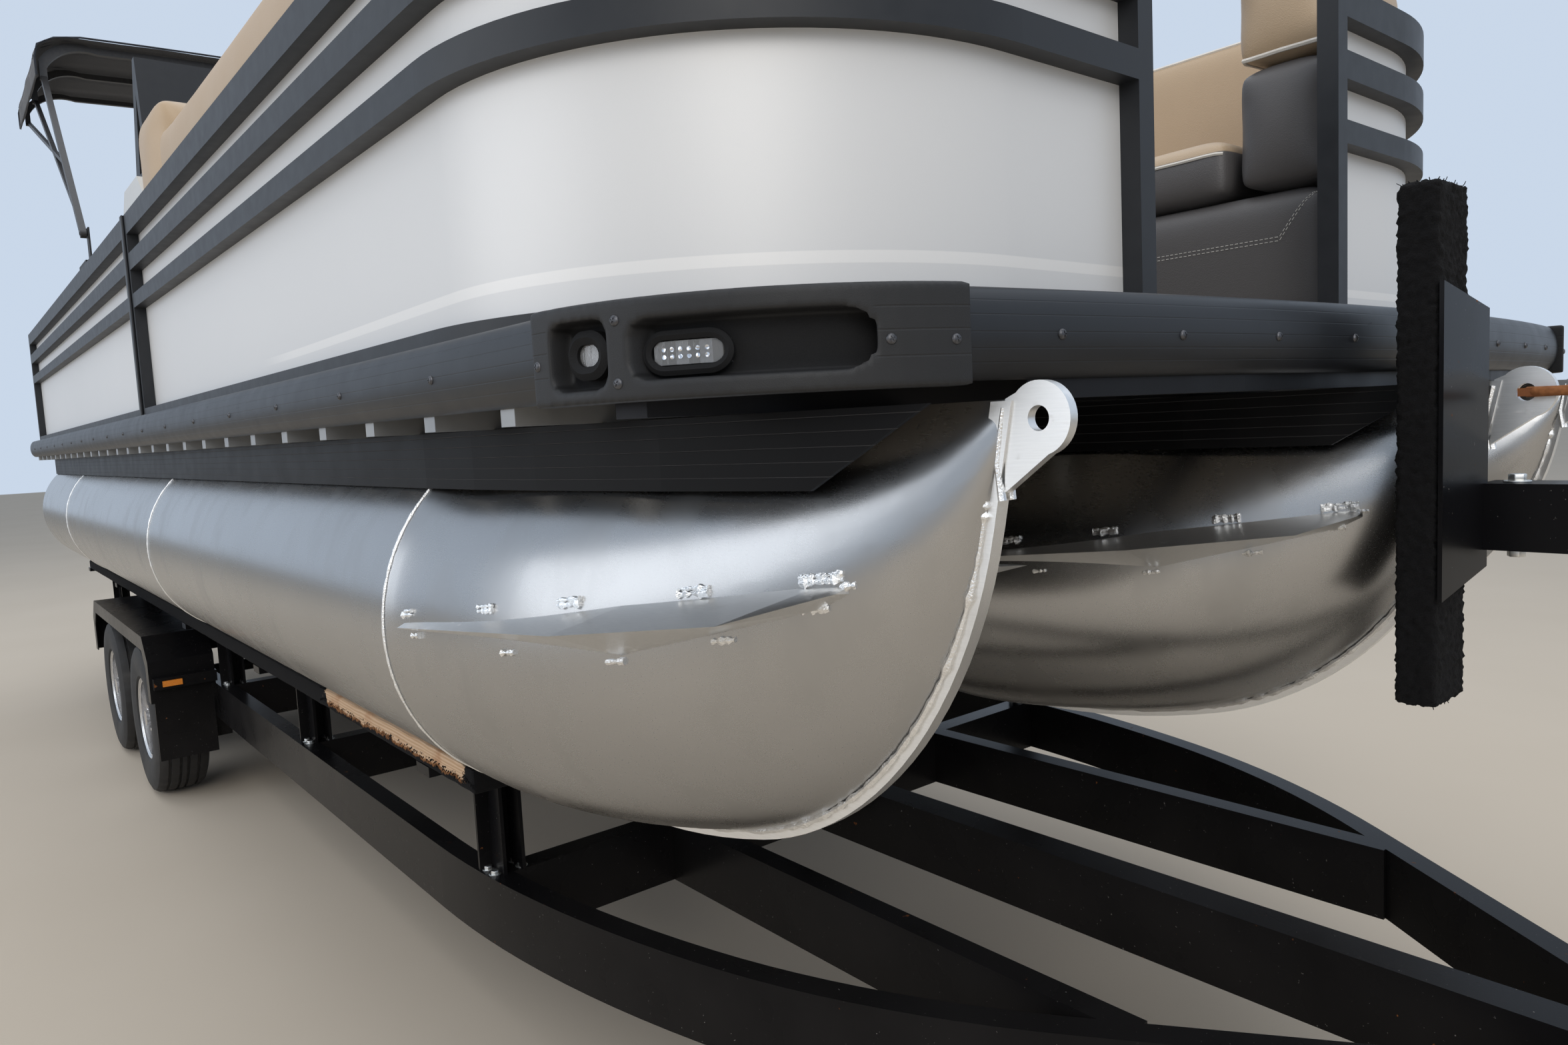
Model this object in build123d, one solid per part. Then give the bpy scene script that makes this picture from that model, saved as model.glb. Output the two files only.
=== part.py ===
"""Pontoon boat with three tubes on its tandem-axle trailer, in millimetres."""
from build123d import *
from math import asin, cos, degrees, radians, sin, sqrt, tan
import os

# The boat's own frame: x forward from the hole of the starboard bow eye, y to port, z up from the ground.
# The whole length is centred on x = 0 when the parts are written, by origin_shift below.

# Tubes
half_beam = 1270.0
tube_radius = 317.5
tube_inset = 304.0
tube_spacing = half_beam - tube_inset
tube_z = 1159.0
tube_front_x = -1065.0
tube_rear_x = -7250.0
centre_tube_rear_x = -6900.0
centre_lead = 148.0
keel_rise_x = -886.0
keel_rise_radius = 1500.0
keel_rise_heading = 15.5
stem_radius = 600.0
stem_heading = 78.5
keel_strip_height = 12.0
keel_strip_width = 18.0
strip_root = 26.0
stem_top_z = 1475.0
# heading of the keel below the section in degrees, x of the section's top, half breadth of the section
nose_sections = [
    (6.0, -715.0, 288.0),
    (15.5, -455.0, 226.0),
    (35.0, -250.0, 142.0),
    (58.0, -100.0, 60.0),
    (78.5, -32.0, 4.0),
]
eye_z = 1456.0
eye_hole_radius = 13.0
eye_radius = 38.0
eye_thickness = 12.0
strake_rear_x = -1000.0
strake_root_z = 1190.4
strake_slope = 6.86
# place behind the rear end, reach of the ridge, drop of ridge and foot below the root, depth of the root
strake_stations = [
    (0.0, 318.0, 15.4, 28.4, 285.0),
    (530.0, 322.0, 25.5, 76.1, 200.0),
    (778.0, 258.0, 25.0, 30.0, 95.0),
    (810.0, 118.0, 12.0, 17.0, 75.0),
]
skirt_offset = 222.0
skirt_thickness = 6.0
skirt_gap = 1.0
skirt_front_x = -70.0
# x and distance from the tube's middle of the riser's inner face, from the bend to the front
skirt_plan = [
    (-1065.0, 222.0), (-890.0, 214.0), (-715.0, 197.0), (-580.0, 177.0), (-455.0, 156.0), (-250.0, 108.0),
    (-70.0, 62.0)
]
skirt_cut_low_x = -235.0
skirt_cut_high_x = -85.0

# Deck
stern_x = -7470.0
bow_centre_x = -7021.0
bow_radius = 7000.0
bow_corner_radius = 350.0
member_height = 85.0
member_width = 40.0
member_pitch = 260.0
member_first_x = -60.0
member_edge_gap = 3.0
deck_thickness = 28.0
rail_low_z = 1498.0
rail_high_z = 1598.0
# growth beyond the deck's edge, height cut from each end of the rail's section
rub_rail_steps = [(14.0, 0.0), (21.0, 9.0), (25.0, 24.0)]
cap_grow = 36.0
cap_low_z = 1493.0
cap_rear_x = -426.0
cap_end_y = half_beam - 270.0
light_seat_grow = 8.0
docking_pocket = (-278.0, -97.0, 1514.0, 1574.0)
docking_lens = (-268.0, -205.0, 1528.0, 1552.0)
navigation_pocket = (-388.0, -305.0, 1508.0, 1580.0)
navigation_lens = (-366.0, -328.0, 1530.0, 1560.0)
pocket_corner = 18.0
lens_thickness = 9.0

# Fence
fence_inset = 25.0
fence_half_beam = half_beam - fence_inset
fence_front_x = -254.0
fence_rear_x = -7420.0
fence_corner_radius = 600.0
fence_depth = 34.0
panel_thickness = 6.0
post_width = fence_depth + panel_thickness
# low and high edge of each rail
fence_rails = [(1590.0, 1624.0), (1954.0, 1999.0), (2076.0, 2130.0), (2192.0, 2256.0)]
fence_top_z = fence_rails[-1][1]
fence_joint_x = -3450.0
fence_joint_gap = 12.0

# Gates: local u runs along the opening from the hinge pin, and v runs outward
gate_leaf_thickness = 32.0
gate_pin_depth = 47.0
gate_pin_gap = 9.0
gate_end_gap = 10.0
gate_low_z = 1604.0
pin_radius = 7.0
pin_height = 40.0
pin_heights = (1700.0, 2060.0)
bow_gate_half_width = 325.0
side_gate_length = 680.0
stern_fence_x = -6870.0
stern_gate_pin_y = -520.0
stern_gate_length = fence_half_beam + stern_gate_pin_y - 105.0

# Seats
lounge_inner_y = 430.0
lounge_front_x = -320.0
lounge_rear_x = fence_joint_x + 30.0
lounge_fence_gap = 12.0
lounge_base_top_z = 1915.0
seat_top_z = 2050.0
rest_top_z = 2180.0
back_top_z = 2450.0
end_top_z = 2560.0
seat_back_y = fence_half_beam - 245.0
fore_rest_length = 200.0
aft_rest_length = 380.0
seat_gap = 3.0
bench_front_x = -6150.0
bench_starboard_y = -430.0

# Helm
console_front_x = fence_joint_x - 70.0
console_inner_y = -430.0
console_outer_y = -(fence_half_beam - 85.0)
console_top_z = 2440.0
console_depth = 660.0
windscreen_height = 430.0
windscreen_thickness = 12.0
steering_wheel_y = (console_inner_y + console_outer_y) / 2 + 5.0
steering_wheel_radius = 180.0
steering_wheel_grip = 13.0
steering_wheel_rake = 25.0
chair_setback = 1380.0
chair_x = console_front_x - chair_setback
chair_y = steering_wheel_y + 10.0
chair_width = 520.0
pedestal_radius = 60.0
pedestal_top_z = 1860.0
chair_back_top_z = 2520.0
chair_seat_depth = 190.0
chair_arm_height = 330.0
chair_back_depth = 130.0

# Canopy
bimini_setback = 1100.0
bimini_pin_rise = 134.0
bimini_reach = 850.0
bimini_pin_x = fence_joint_x - bimini_setback
bimini_pin_y = fence_half_beam - 19.0
bimini_pin_z = fence_top_z + bimini_pin_rise
bimini_head_x = bimini_pin_x - bimini_reach
# distance of each bow's top behind the main one, share of the main leg below its root, tube width
bimini_bow_table = [(0.0, 0.0, 30.0), (420.0, 0.12, 24.0), (850.0, 0.42, 22.0)]
bow_corner = 210.0
canopy_front_x = bimini_head_x + 80.0
canopy_length = 1010.0
canopy_rear_x = canopy_front_x - canopy_length
canopy_z = 3360.0
canopy_crown = 100.0
canopy_thickness = 20.0
canopy_overhang = 30.0
canopy_drop = 120.0

# Motor
transom_x = -7545.0
transom_thickness = 45.0
transom_top_z = 1604.0
pod_half_width = 285.0
tilt_setback = 95.0
tilt_x = transom_x - tilt_setback
tilt_z = 1620.0
steer_setback = 90.0
steer_x = tilt_x - steer_setback
swivel_length = 330.0
swivel_depth = 45.0
swivel_nose_half = 28.0
cowl_low_z = 1720.0
cowl_high_z = 2310.0
cowl_overhang = 110.0
cowl_length = 660.0
cowl_front_x = steer_x + cowl_overhang
cowl_rear_x = cowl_front_x - cowl_length
cowl_half_width = 255.0
cowl_taper = 110.0
cowl_wall = 40.0
prop_z = 760.0
prop_radius = 190.0
prop_setback = 420.0
prop_x = steer_x - prop_setback
hub_radius = 55.0
plate_gap = 14.0
leg_root_length = 300.0
leg_tip_length = 250.0
leg_tip_rise = 200.0
yoke_reach = 200.0

# Trailer
rail_outer_y = tube_spacing + 11.5
rail_top_z = 512.0
rail_height = 152.0
rail_width = 51.0
frame_rear_x = -7210.0
frame_bend_x = -1750.0
frame_bend_radius = 3200.0
frame_bend_heading = 16.1
frame_hook_radius = 1900.0
frame_hook_heading = 36.0
tongue_half_width = 38.0
crossmember_x = (-1480.0, -2900.0, -4080.0, -5990.0, -7150.0)
crossmember_length = 60.0
inner_beam_y = 450.0
coupler_tip_x = 1850.0
coupler_length = 260.0
ball_radius = 25.4
ball_clearance = 0.4
bunk_width = 100.0
bunk_thickness = 50.0
bunk_gap = 38.0
bunk_front_x = -1240.0
bunk_rear_x = -7140.0
bunk_clearance = 1.0
bracket_length = 70.0
bracket_plate = 8.0
bracket_flange = 36.0
bracket_feet = 44.0
bracket_arm_height = 22.0

# Running gear
tyre_radius = 330.0
tyre_width = 205.0
tyre_inner_y = rail_outer_y + 20.5
rim_radius = 178.0
front_wheel_x = -4600.0
rear_wheel_x = -5490.0
spindle_radius = 20.0
spindle_clearance = 0.5
hub_drum_radius = 62.0
axle_radius = 30.0
spring_width = 60.0
spring_height = 26.0
spring_half_length = 330.0
fender_inner_y = rail_outer_y
fender_outer_y = tyre_inner_y + tyre_width + 12.0
fender_thickness = 5.0
lamp_bar_depth = 40.0
fender_low_z = 470.0
fender_top_z = 735.0
fender_gap = 80.0
fender_slope = 95.0
fender_side_drop = 60.0
flap_low_z = 230.0

# Winch stand, bow stops and jack
stand_x = 650.0
stand_width = 76.0
arm_low_z = 1223.0
arm_high_z = 1323.0
stop_gap = 35.0
stop_depth = 59.0
stop_width = 118.0
stop_inner_y = -82.0
stop_low_z = 1008.0
stop_high_z = 1757.0
stop_plate = 6.0
stop_plate_inner_y = -18.0
stop_plate_low_z = 1166.0
stop_plate_high_z = 1615.0
winch_x = 690.0
winch_z = 1430.0
drum_radius = 30.0
strap_width = 50.0
strap_thickness = 3.0
jack_x = 1150.0
jack_y = -110.0
jack_tube_radius = 30.0
jack_leg_radius = 25.0
jack_tube_low_z = 330.0
jack_tube_high_z = 900.0
jack_foot_radius = 80.0
jack_foot_height = 10.0
jack_travel = 250.0
fit = 0.5

tube_top_z = tube_z + tube_radius
tube_low_z = tube_z - tube_radius
deck_low_z = tube_top_z + member_height
deck_z = deck_low_z + deck_thickness
keel_z = tube_low_z - keel_strip_height
rail_low_face_z = rail_top_z - rail_height
stop_x = bow_centre_x + bow_radius + rub_rail_steps[-1][0] + stop_gap
arm_rear_x = stop_x + stop_depth + stop_plate
origin_shift = -(coupler_tip_x + cowl_rear_x) / 2


def block(x0, x1, y0, y1, z0, z1):
    """A box between two limits on each axis."""
    return Pos(x0, y0, z0) * Box(x1 - x0, y1 - y0, z1 - z0, align=(Align.MIN,) * 3)


def rod(start, end, radius):
    """A round bar from one point to another."""
    a = Vector(*start)
    b = Vector(*end)
    return Plane(origin=a, z_dir=b - a) * Cylinder(
        radius, (b - a).length, align=(Align.CENTER, Align.CENTER, Align.MIN)
    )


def square_bar(start, end, width):
    """A square bar from one point to another, with two faces kept upright."""
    a = Vector(*start)
    b = Vector(*end)
    side = Vector(0, 1, 0) if abs((b - a).normalized().Y) < 0.9 else Vector(1, 0, 0)
    return Plane(origin=a, x_dir=side, z_dir=b - a) * Box(
        width, width, (b - a).length, align=(Align.CENTER, Align.CENTER, Align.MIN)
    )


def side_plate(points, y0, y1):
    """A plate with its outline in x and z, from y0 to y1."""
    outline = make_face(Polyline(*[(x, y0, z) for x, z in points], close=True))
    return extrude(outline, amount=y1 - y0, dir=(0, 1, 0))


def floor_plate(points, z0, z1):
    """A plate with its outline in x and y, from z0 to z1."""
    outline = make_face(Polyline(*[(x, y, z0) for x, y in points], close=True))
    return extrude(outline, amount=z1 - z0, dir=(0, 0, 1))


def to_starboard(shape):
    """The mirror image of a port piece."""
    return mirror(shape, Plane.XZ)


def pair(shape):
    """A port piece and its starboard twin."""
    return [shape, to_starboard(shape)]


def keel_point(heading, depth):
    """x and z on the keel's side profile where it climbs at this heading, depth inside the strip's face."""
    angle = radians(heading)
    bend = radians(keel_rise_heading)
    x = keel_rise_x
    z = keel_z + keel_rise_radius
    radius = keel_rise_radius
    if heading > keel_rise_heading:
        x += (keel_rise_radius - stem_radius) * sin(bend)
        z -= (keel_rise_radius - stem_radius) * cos(bend)
        radius = stem_radius
    return x + (radius - depth) * sin(angle), z - (radius - depth) * cos(angle)


def nose_section(top_x, keel_x, low_z, half_breadth):
    """A lens of two arcs from the keel to the top of the tube."""
    top = Vector(top_x, 0, tube_top_z)
    low = Vector(keel_x, 0, low_z)
    middle = (top + low) * 0.5
    port = ThreePointArc(top, middle + Vector(0, half_breadth, 0), low)
    starboard = ThreePointArc(low, middle - Vector(0, half_breadth, 0), top)
    return make_face([port, starboard])


def pontoon(rear_x):
    """One closed tube with its pointed nose, centred on y = 0."""
    sections = [nose_section(tube_front_x, tube_front_x, tube_low_z, tube_radius)]
    for heading, top_x, half_breadth in nose_sections:
        keel_x, low_z = keel_point(heading, keel_strip_height)
        sections.append(nose_section(top_x, keel_x, low_z, half_breadth))
    nose = loft(sections)
    return rod((rear_x, 0, tube_z), (tube_front_x, 0, tube_z), tube_radius) + nose


def strip_path(depth):
    """The edges of the keel strip's profile at this depth, and its ends."""
    start = (tube_front_x, 0, keel_z + depth)
    flat_end = (keel_point(0, depth)[0], 0, keel_point(0, depth)[1])
    rise_mid = keel_point(keel_rise_heading / 2, depth)
    rise_end = keel_point(keel_rise_heading, depth)
    hook_mid = keel_point((keel_rise_heading + stem_heading) / 2, depth)
    hook_end = keel_point(stem_heading, depth)
    top_x = hook_end[0] + (stem_top_z - hook_end[1]) / tan(radians(stem_heading))
    top = (top_x, 0, stem_top_z)
    edges = [
        Line(start, flat_end),
        ThreePointArc(flat_end, (rise_mid[0], 0, rise_mid[1]), (rise_end[0], 0, rise_end[1])),
        ThreePointArc(
            (rise_end[0], 0, rise_end[1]), (hook_mid[0], 0, hook_mid[1]), (hook_end[0], 0, hook_end[1])
        ),
        Line((hook_end[0], 0, hook_end[1]), top),
    ]
    return edges, start, top


def keel_and_eye(hull):
    """The strip along the keel and stem with the bow eye on it, welded to the hull."""
    outer, outer_start, outer_top = strip_path(0)
    inner, inner_start, inner_top = strip_path(strip_root)
    outline = make_face(outer + inner + [Line(outer_start, inner_start), Line(outer_top, inner_top)])
    strip = extrude(outline, amount=keel_strip_width / 2, both=True)
    half = eye_thickness / 2
    stem_x = outer_top[0]
    lug_outline = [
        (stem_x - 10, stem_top_z + 2),
        (0, eye_z + eye_radius),
        (eye_radius * 0.8, eye_z - eye_radius * 0.6),
        (stem_x - 14, eye_z - 2 * eye_radius),
    ]
    lug = side_plate(lug_outline, -half, half) + rod((0, -half, eye_z), (0, half, eye_z), eye_radius)
    hole = rod((0, -eye_thickness, eye_z), (0, eye_thickness, eye_z), eye_hole_radius)
    return strip + lug - hull - hole


def strake(hull):
    """The lifting strake on the port side of one nose, a wedge along the skin."""
    sections = []
    for run, reach, ridge_drop, foot_drop, root_y in strake_stations:
        x = strake_rear_x + run
        root_z = strake_root_z + run * tan(radians(strake_slope))
        corners = [(x, root_y, root_z), (x, reach, root_z - ridge_drop), (x, root_y, root_z - foot_drop)]
        sections.append(make_face(Polyline(*corners, close=True)))
    body = None
    for first, second in zip(sections, sections[1:]):
        length = loft([first, second], ruled=True)
        body = length if body is None else body + length
    return body - hull


def skirt(rear_x, hull):
    """The riser between tube and deck on the port side of one tube, its front cut on a slant."""
    outer = skirt_offset + skirt_thickness
    near = [(rear_x, skirt_offset)] + skirt_plan
    outline = near + [(x, y + skirt_thickness) for x, y in reversed(near)]
    low_z = tube_z + sqrt(tube_radius ** 2 - skirt_offset ** 2) + skirt_gap
    web = floor_plate(outline, low_z, tube_top_z)
    slant = [
        (skirt_cut_low_x, low_z - 1),
        (skirt_front_x + 1, low_z - 1),
        (skirt_front_x + 1, tube_top_z + 1),
        (skirt_cut_high_x, tube_top_z + 1),
    ]
    return web - side_plate(slant, 0, outer + 1) - hull


def outline_of_deck(grow):
    """The deck's plan grown by this much: straight sides, a bow of one arc and two corner arcs."""
    half = half_beam + grow
    length = bow_centre_x - stern_x + grow
    aft = Pos(bow_centre_x - length / 2, 0) * Rectangle(length, 2 * half)
    reach = bow_radius + grow
    fore = (Pos(bow_centre_x, 0) * Circle(reach)) & (
        Pos(bow_centre_x + reach / 2, 0) * Rectangle(reach, 2 * half)
    )
    plan = aft + fore
    corner_x = bow_centre_x + sqrt(reach ** 2 - half ** 2)
    corners = [v for v in plan.vertices() if abs(v.X - corner_x) < 1 and abs(abs(v.Y) - half) < 1]
    return fillet(corners, bow_corner_radius + grow)


def deck_slice(grow, z0, z1):
    """The deck's plan grown and stood from z0 to z1."""
    return extrude(Pos(0, 0, z0) * outline_of_deck(grow), amount=z1 - z0)


def fence_slice(inset, z0, z1):
    """The plan inside the fence's outer face, by this inset, stood from z0 to z1."""
    half = fence_half_beam - inset
    front = fence_front_x - inset
    length = front - fence_rear_x
    plan = Pos(front - length / 2, 0) * Rectangle(length, 2 * half)
    corners = [v for v in plan.vertices() if v.X > front - 1]
    plan = fillet(corners, fence_corner_radius - inset)
    return extrude(Pos(0, 0, z0) * plan, amount=z1 - z0)


def fence_band(outer, inner, z0, z1):
    """A band that follows the fence between two insets."""
    return fence_slice(outer, z0, z1) - fence_slice(inner, z0 - 1, z1 + 1)


cap_zones = [
    block(
        cap_rear_x, 0.5 * half_beam, cap_end_y, 2 * half_beam, cap_low_z - cap_grow, rail_high_z + cap_grow
    ),
    block(
        cap_rear_x, 0.5 * half_beam, -2 * half_beam, -cap_end_y, cap_low_z - cap_grow,
        rail_high_z + cap_grow
    ),
]


def rub_rail():
    """The extruded rub rail round the deck, in steps that stand for its rounded face."""
    rail = None
    for grow, cut in rub_rail_steps:
        layer = deck_slice(grow, rail_low_z + cut, rail_high_z - cut)
        rail = layer if rail is None else rail + layer
    rail = rail - deck_slice(0, rail_low_z - 1, rail_high_z + 1)
    for zone in cap_zones:
        rail = rail - zone
    return rail


def corner_caps():
    """The moulded bow corner caps with pockets for the lights, and the lenses in them."""
    cap_ring = deck_slice(cap_grow, cap_low_z, rail_high_z) - deck_slice(0, cap_low_z - 1, rail_high_z + 1)
    pocket_ring = deck_slice(cap_grow + 5, rail_low_z, rail_high_z)
    pocket_ring = pocket_ring - deck_slice(light_seat_grow, rail_low_z - 1, rail_high_z + 1)
    lens_ring = deck_slice(light_seat_grow + lens_thickness, rail_low_z, rail_high_z)
    lens_ring = lens_ring - deck_slice(light_seat_grow, rail_low_z - 1, rail_high_z + 1)
    caps = []
    lenses = []
    for zone, side in zip(cap_zones, (1, -1)):
        cap = cap_ring & zone
        for x0, x1, z0, z1 in (docking_pocket, navigation_pocket):
            low_y, high_y = sorted((side * 0.7 * half_beam, side * 1.2 * half_beam))
            cutter = block(x0, x1, low_y, high_y, z0, z1)
            cutter = fillet(cutter.edges().filter_by(Axis.Y), pocket_corner)
            cap = cap - (pocket_ring & cutter)
        caps.append(cap)
        for x0, x1, z0, z1 in (docking_lens, navigation_lens):
            low_y, high_y = sorted((side * 0.7 * half_beam, side * 1.2 * half_beam))
            lenses.append(lens_ring & block(x0, x1, low_y, high_y, z0, z1))
    return caps, lenses


def fence_section(zone, posts):
    """Rails and posts of the fence inside a zone, and the panel behind them."""
    frame = None
    for low, high in fence_rails:
        rail = fence_band(0, fence_depth, low, high) & zone
        frame = rail if frame is None else frame + rail
    for post in posts:
        frame = frame + post
    panel = fence_band(
        fence_depth, fence_depth + panel_thickness, fence_rails[0][0], fence_rails[-1][1]
    ) & zone
    for post in posts:
        panel = panel - post
    return frame, panel


def fence_parts():
    """The two bow sections with their gate posts, and the two aft sections."""
    low = fence_rails[0][0]
    top = fence_top_z
    inner = fence_half_beam - post_width
    gate = bow_gate_half_width
    joint_fore = fence_joint_x + fence_joint_gap
    tall = (low - 10, top + 10)
    bow_zone = block(joint_fore, 0, gate, 1500, *tall)
    gate_post = block(fence_front_x - post_width, fence_front_x, gate, gate + post_width, low, top)
    joint_post = block(joint_fore, joint_fore + post_width, inner, fence_half_beam, low, top)
    bow_frame, bow_panel = fence_section(bow_zone, [gate_post, joint_post])
    bow_frames = pair(bow_frame)
    bow_panels = pair(bow_panel)
    hinge_x = bow_gate_pin()[0]
    bow_frames[1] = bow_frames[1] + fixed_pins(hinge_x, -gate + 1, 90)
    aft_post = block(fence_rear_x, fence_rear_x + post_width, inner, fence_half_beam, low, top)
    port_start = side_gate_pin()[0] - gate_pin_gap - side_gate_length - gate_end_gap
    port_zone = block(fence_rear_x - 10, port_start, 0, 1500, *tall)
    port_post = block(port_start - post_width, port_start, inner, fence_half_beam, low, top)
    port_frame, port_panel = fence_section(port_zone, [port_post, aft_post])
    starboard_start = fence_joint_x - fence_joint_gap
    starboard_zone = block(fence_rear_x - 10, starboard_start, 0, 1500, *tall)
    starboard_post = block(starboard_start - post_width, starboard_start, inner, fence_half_beam, low, top)
    starboard_frame, starboard_panel = fence_section(starboard_zone, [starboard_post, aft_post])
    side_pin = side_gate_pin()
    bow_frames[0] = bow_frames[0] + fixed_pins(side_pin[0], side_pin[1], 180)
    aft_frames = [port_frame, to_starboard(starboard_frame)]
    aft_panels = [port_panel, to_starboard(starboard_panel)]
    return bow_frames, bow_panels, aft_frames, aft_panels


def bow_gate_pin():
    """The pin's place at the starboard post of the bow gate."""
    return fence_front_x - gate_pin_depth, -bow_gate_half_width + 1


def side_gate_pin():
    """The pin's place at the fore post of the side gate, to port."""
    return fence_joint_x + fence_joint_gap - 1, fence_half_beam - gate_pin_depth


def stern_gate_pin():
    """The pin's place at the port post of the stern gate."""
    return stern_fence_x + gate_pin_depth, stern_gate_pin_y


def at_pin(pin_x, pin_y, turn, shape):
    """Place a shape drawn about the pin, with u turned from +x by this angle."""
    return Pos(pin_x, pin_y, 0) * Rot(0, 0, turn) * shape


def fixed_pins(pin_x, pin_y, turn):
    """The hinge barrels that a post carries, with their straps."""
    barrels = None
    reach = gate_pin_depth - post_width
    for z in pin_heights:
        barrel = Pos(0, 0, z) * Cylinder(
            pin_radius, pin_height, align=(Align.CENTER, Align.CENTER, Align.MIN)
        )
        strap = block(-3 * pin_radius, 0, -reach, -reach + pin_radius, z, z + pin_height)
        barrel = barrel + strap
        barrels = barrel if barrels is None else barrels + barrel
    return at_pin(pin_x, pin_y, turn, barrels)


def gate_leaf(length):
    """A closed gate about its pin: frame, panel and the barrels that turn on the pins."""
    outer = -gate_pin_depth
    inner = outer + gate_leaf_thickness
    start = gate_pin_gap
    end = start + length
    leaf = block(start, start + post_width, outer, inner, gate_low_z, fence_top_z)
    leaf = leaf + block(end - post_width, end, outer, inner, gate_low_z, fence_top_z)
    for low, high in fence_rails:
        leaf = leaf + block(start, end, outer, inner, max(low, gate_low_z), high)
    sheet = block(start, end, inner - panel_thickness, inner, gate_low_z, fence_top_z)
    leaf = leaf + sheet
    for z in pin_heights:
        base = z + pin_height + 1
        barrel = Pos(0, 0, base) * Cylinder(
            pin_radius, pin_height, align=(Align.CENTER, Align.CENTER, Align.MIN)
        )
        strap = block(0, start + 20, inner, 0, base, base + pin_height)
        leaf = leaf + barrel + strap
    return leaf


def stern_fence():
    """The two posts of the stern gate, the hinge on one, and the low rail that ties them to the deck."""
    low = deck_z
    outer_x = stern_fence_x
    pin = stern_gate_pin()
    port_post = block(outer_x, outer_x + post_width, pin[1] + 1, pin[1] + 1 + post_width, low, fence_top_z)
    far = pin[1] - gate_pin_gap - stern_gate_length - gate_end_gap
    far_post = block(
        outer_x, outer_x + post_width, -(fence_half_beam - fence_depth - panel_thickness), far, low,
        fence_top_z
    )
    return [port_post + fixed_pins(pin[0], pin[1], -90), far_post]


def lounge(side_end_z):
    """Base, seat with its fore rest, and back with the aft end of one bow lounge, to port."""
    room = fence_slice(fence_depth + panel_thickness + lounge_fence_gap, deck_z, end_top_z + 100)
    x0 = lounge_rear_x
    x1 = lounge_front_x
    fore = x1 - fore_rest_length
    aft = x0 + aft_rest_length
    base = room & block(x0, x1, lounge_inner_y, 1500, deck_z, lounge_base_top_z)
    seat_low = lounge_base_top_z
    seat = block(aft + seat_gap, fore - seat_gap, lounge_inner_y - 5, seat_back_y, seat_low, seat_top_z)
    fore_rest = room & block(fore, x1, lounge_inner_y, 1500, seat_low, rest_top_z)
    back = room & block(aft + seat_gap, fore - seat_gap, seat_back_y + seat_gap, 1500, seat_low, back_top_z)
    roll = room & block(fore, x1, lounge_inner_y, 1500, rest_top_z, back_top_z - 40)
    aft_end = room & block(x0, aft, lounge_inner_y + 60, 1500, seat_low, side_end_z)
    return base, [seat, fore_rest], [back, roll, aft_end]


def stern_bench():
    """Base, seat and back of the bench across the stern."""
    x0 = stern_fence_x + post_width + 4
    x1 = bench_front_x
    y0 = bench_starboard_y
    y1 = fence_half_beam - fence_depth - panel_thickness - lounge_fence_gap
    base = block(x0, x1, y0, y1, deck_z, lounge_base_top_z)
    back_x = x0 + 190
    seat = block(back_x + seat_gap, x1 + 5, y0, y1, lounge_base_top_z, seat_top_z)
    back = block(x0, back_x, y0, y1, lounge_base_top_z, rest_top_z + 100)
    return base, seat, back


def console():
    """The helm console with its sloped dash."""
    front = console_front_x
    rear = front - console_depth
    outline = [
        (front, deck_z),
        (front - 20, console_top_z - 90),
        (front - 130, console_top_z),
        (front - 410, console_top_z),
        (rear, console_top_z - 260),
        (rear + 60, console_top_z - 420),
        (rear + 60, deck_z),
    ]
    centre, direction = steering_pose()
    column = rod(tuple(centre - direction * 150), tuple(centre - direction * 47), 22)
    return side_plate(outline, console_outer_y, console_inner_y) + column


def windscreen():
    """The tinted screen between two open side brackets on top of the console."""
    foot_fore = console_front_x - 140
    foot_aft = console_front_x - 400
    top_z = console_top_z + windscreen_height
    top_x = foot_fore - 60
    bracket_outline = [
        (foot_fore, console_top_z), (top_x, top_z), (top_x - 40, top_z), (foot_aft, console_top_z)
    ]
    hole_outline = [
        (foot_fore - 45, console_top_z + 45),
        (top_x - 32, top_z - 120),
        (foot_aft + 95, console_top_z + 45),
    ]
    sides = None
    for y0 in (console_outer_y + 40, console_inner_y - 40 - windscreen_thickness):
        y1 = y0 + windscreen_thickness
        bracket = side_plate(bracket_outline, y0, y1) - side_plate(hole_outline, y0 - 1, y1 + 1)
        sides = bracket if sides is None else sides + bracket
    glass_outline = [
        (foot_fore, console_top_z),
        (top_x, top_z),
        (top_x - windscreen_thickness, top_z),
        (foot_fore - windscreen_thickness, console_top_z),
    ]
    return sides + side_plate(glass_outline, console_outer_y + 40, console_inner_y - 40)


def steering_pose():
    """The middle of the steering wheel and the way its shaft points."""
    rake = radians(steering_wheel_rake)
    direction = Vector(-cos(rake), 0, sin(rake))
    root_x = console_front_x - console_depth + 30
    root_z = console_top_z - 330
    reach = 130
    return Vector(root_x, steering_wheel_y, root_z) + direction * reach, direction


def steering_wheel():
    """Rim, hub and three spokes about the shaft, clear of the dash."""
    centre, direction = steering_pose()
    plane = Plane(origin=centre, x_dir=Vector(0, 1, 0), z_dir=direction)
    wheel = Torus(steering_wheel_radius, steering_wheel_grip)
    wheel = wheel + Pos(0, 0, -24) * Cylinder(36, 44)
    for turn in (90, 210, 330):
        wheel = wheel + Rot(0, 0, turn) * block(20, steering_wheel_radius - 4, -14, 14, -9, -3)
    return plane * wheel


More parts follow.
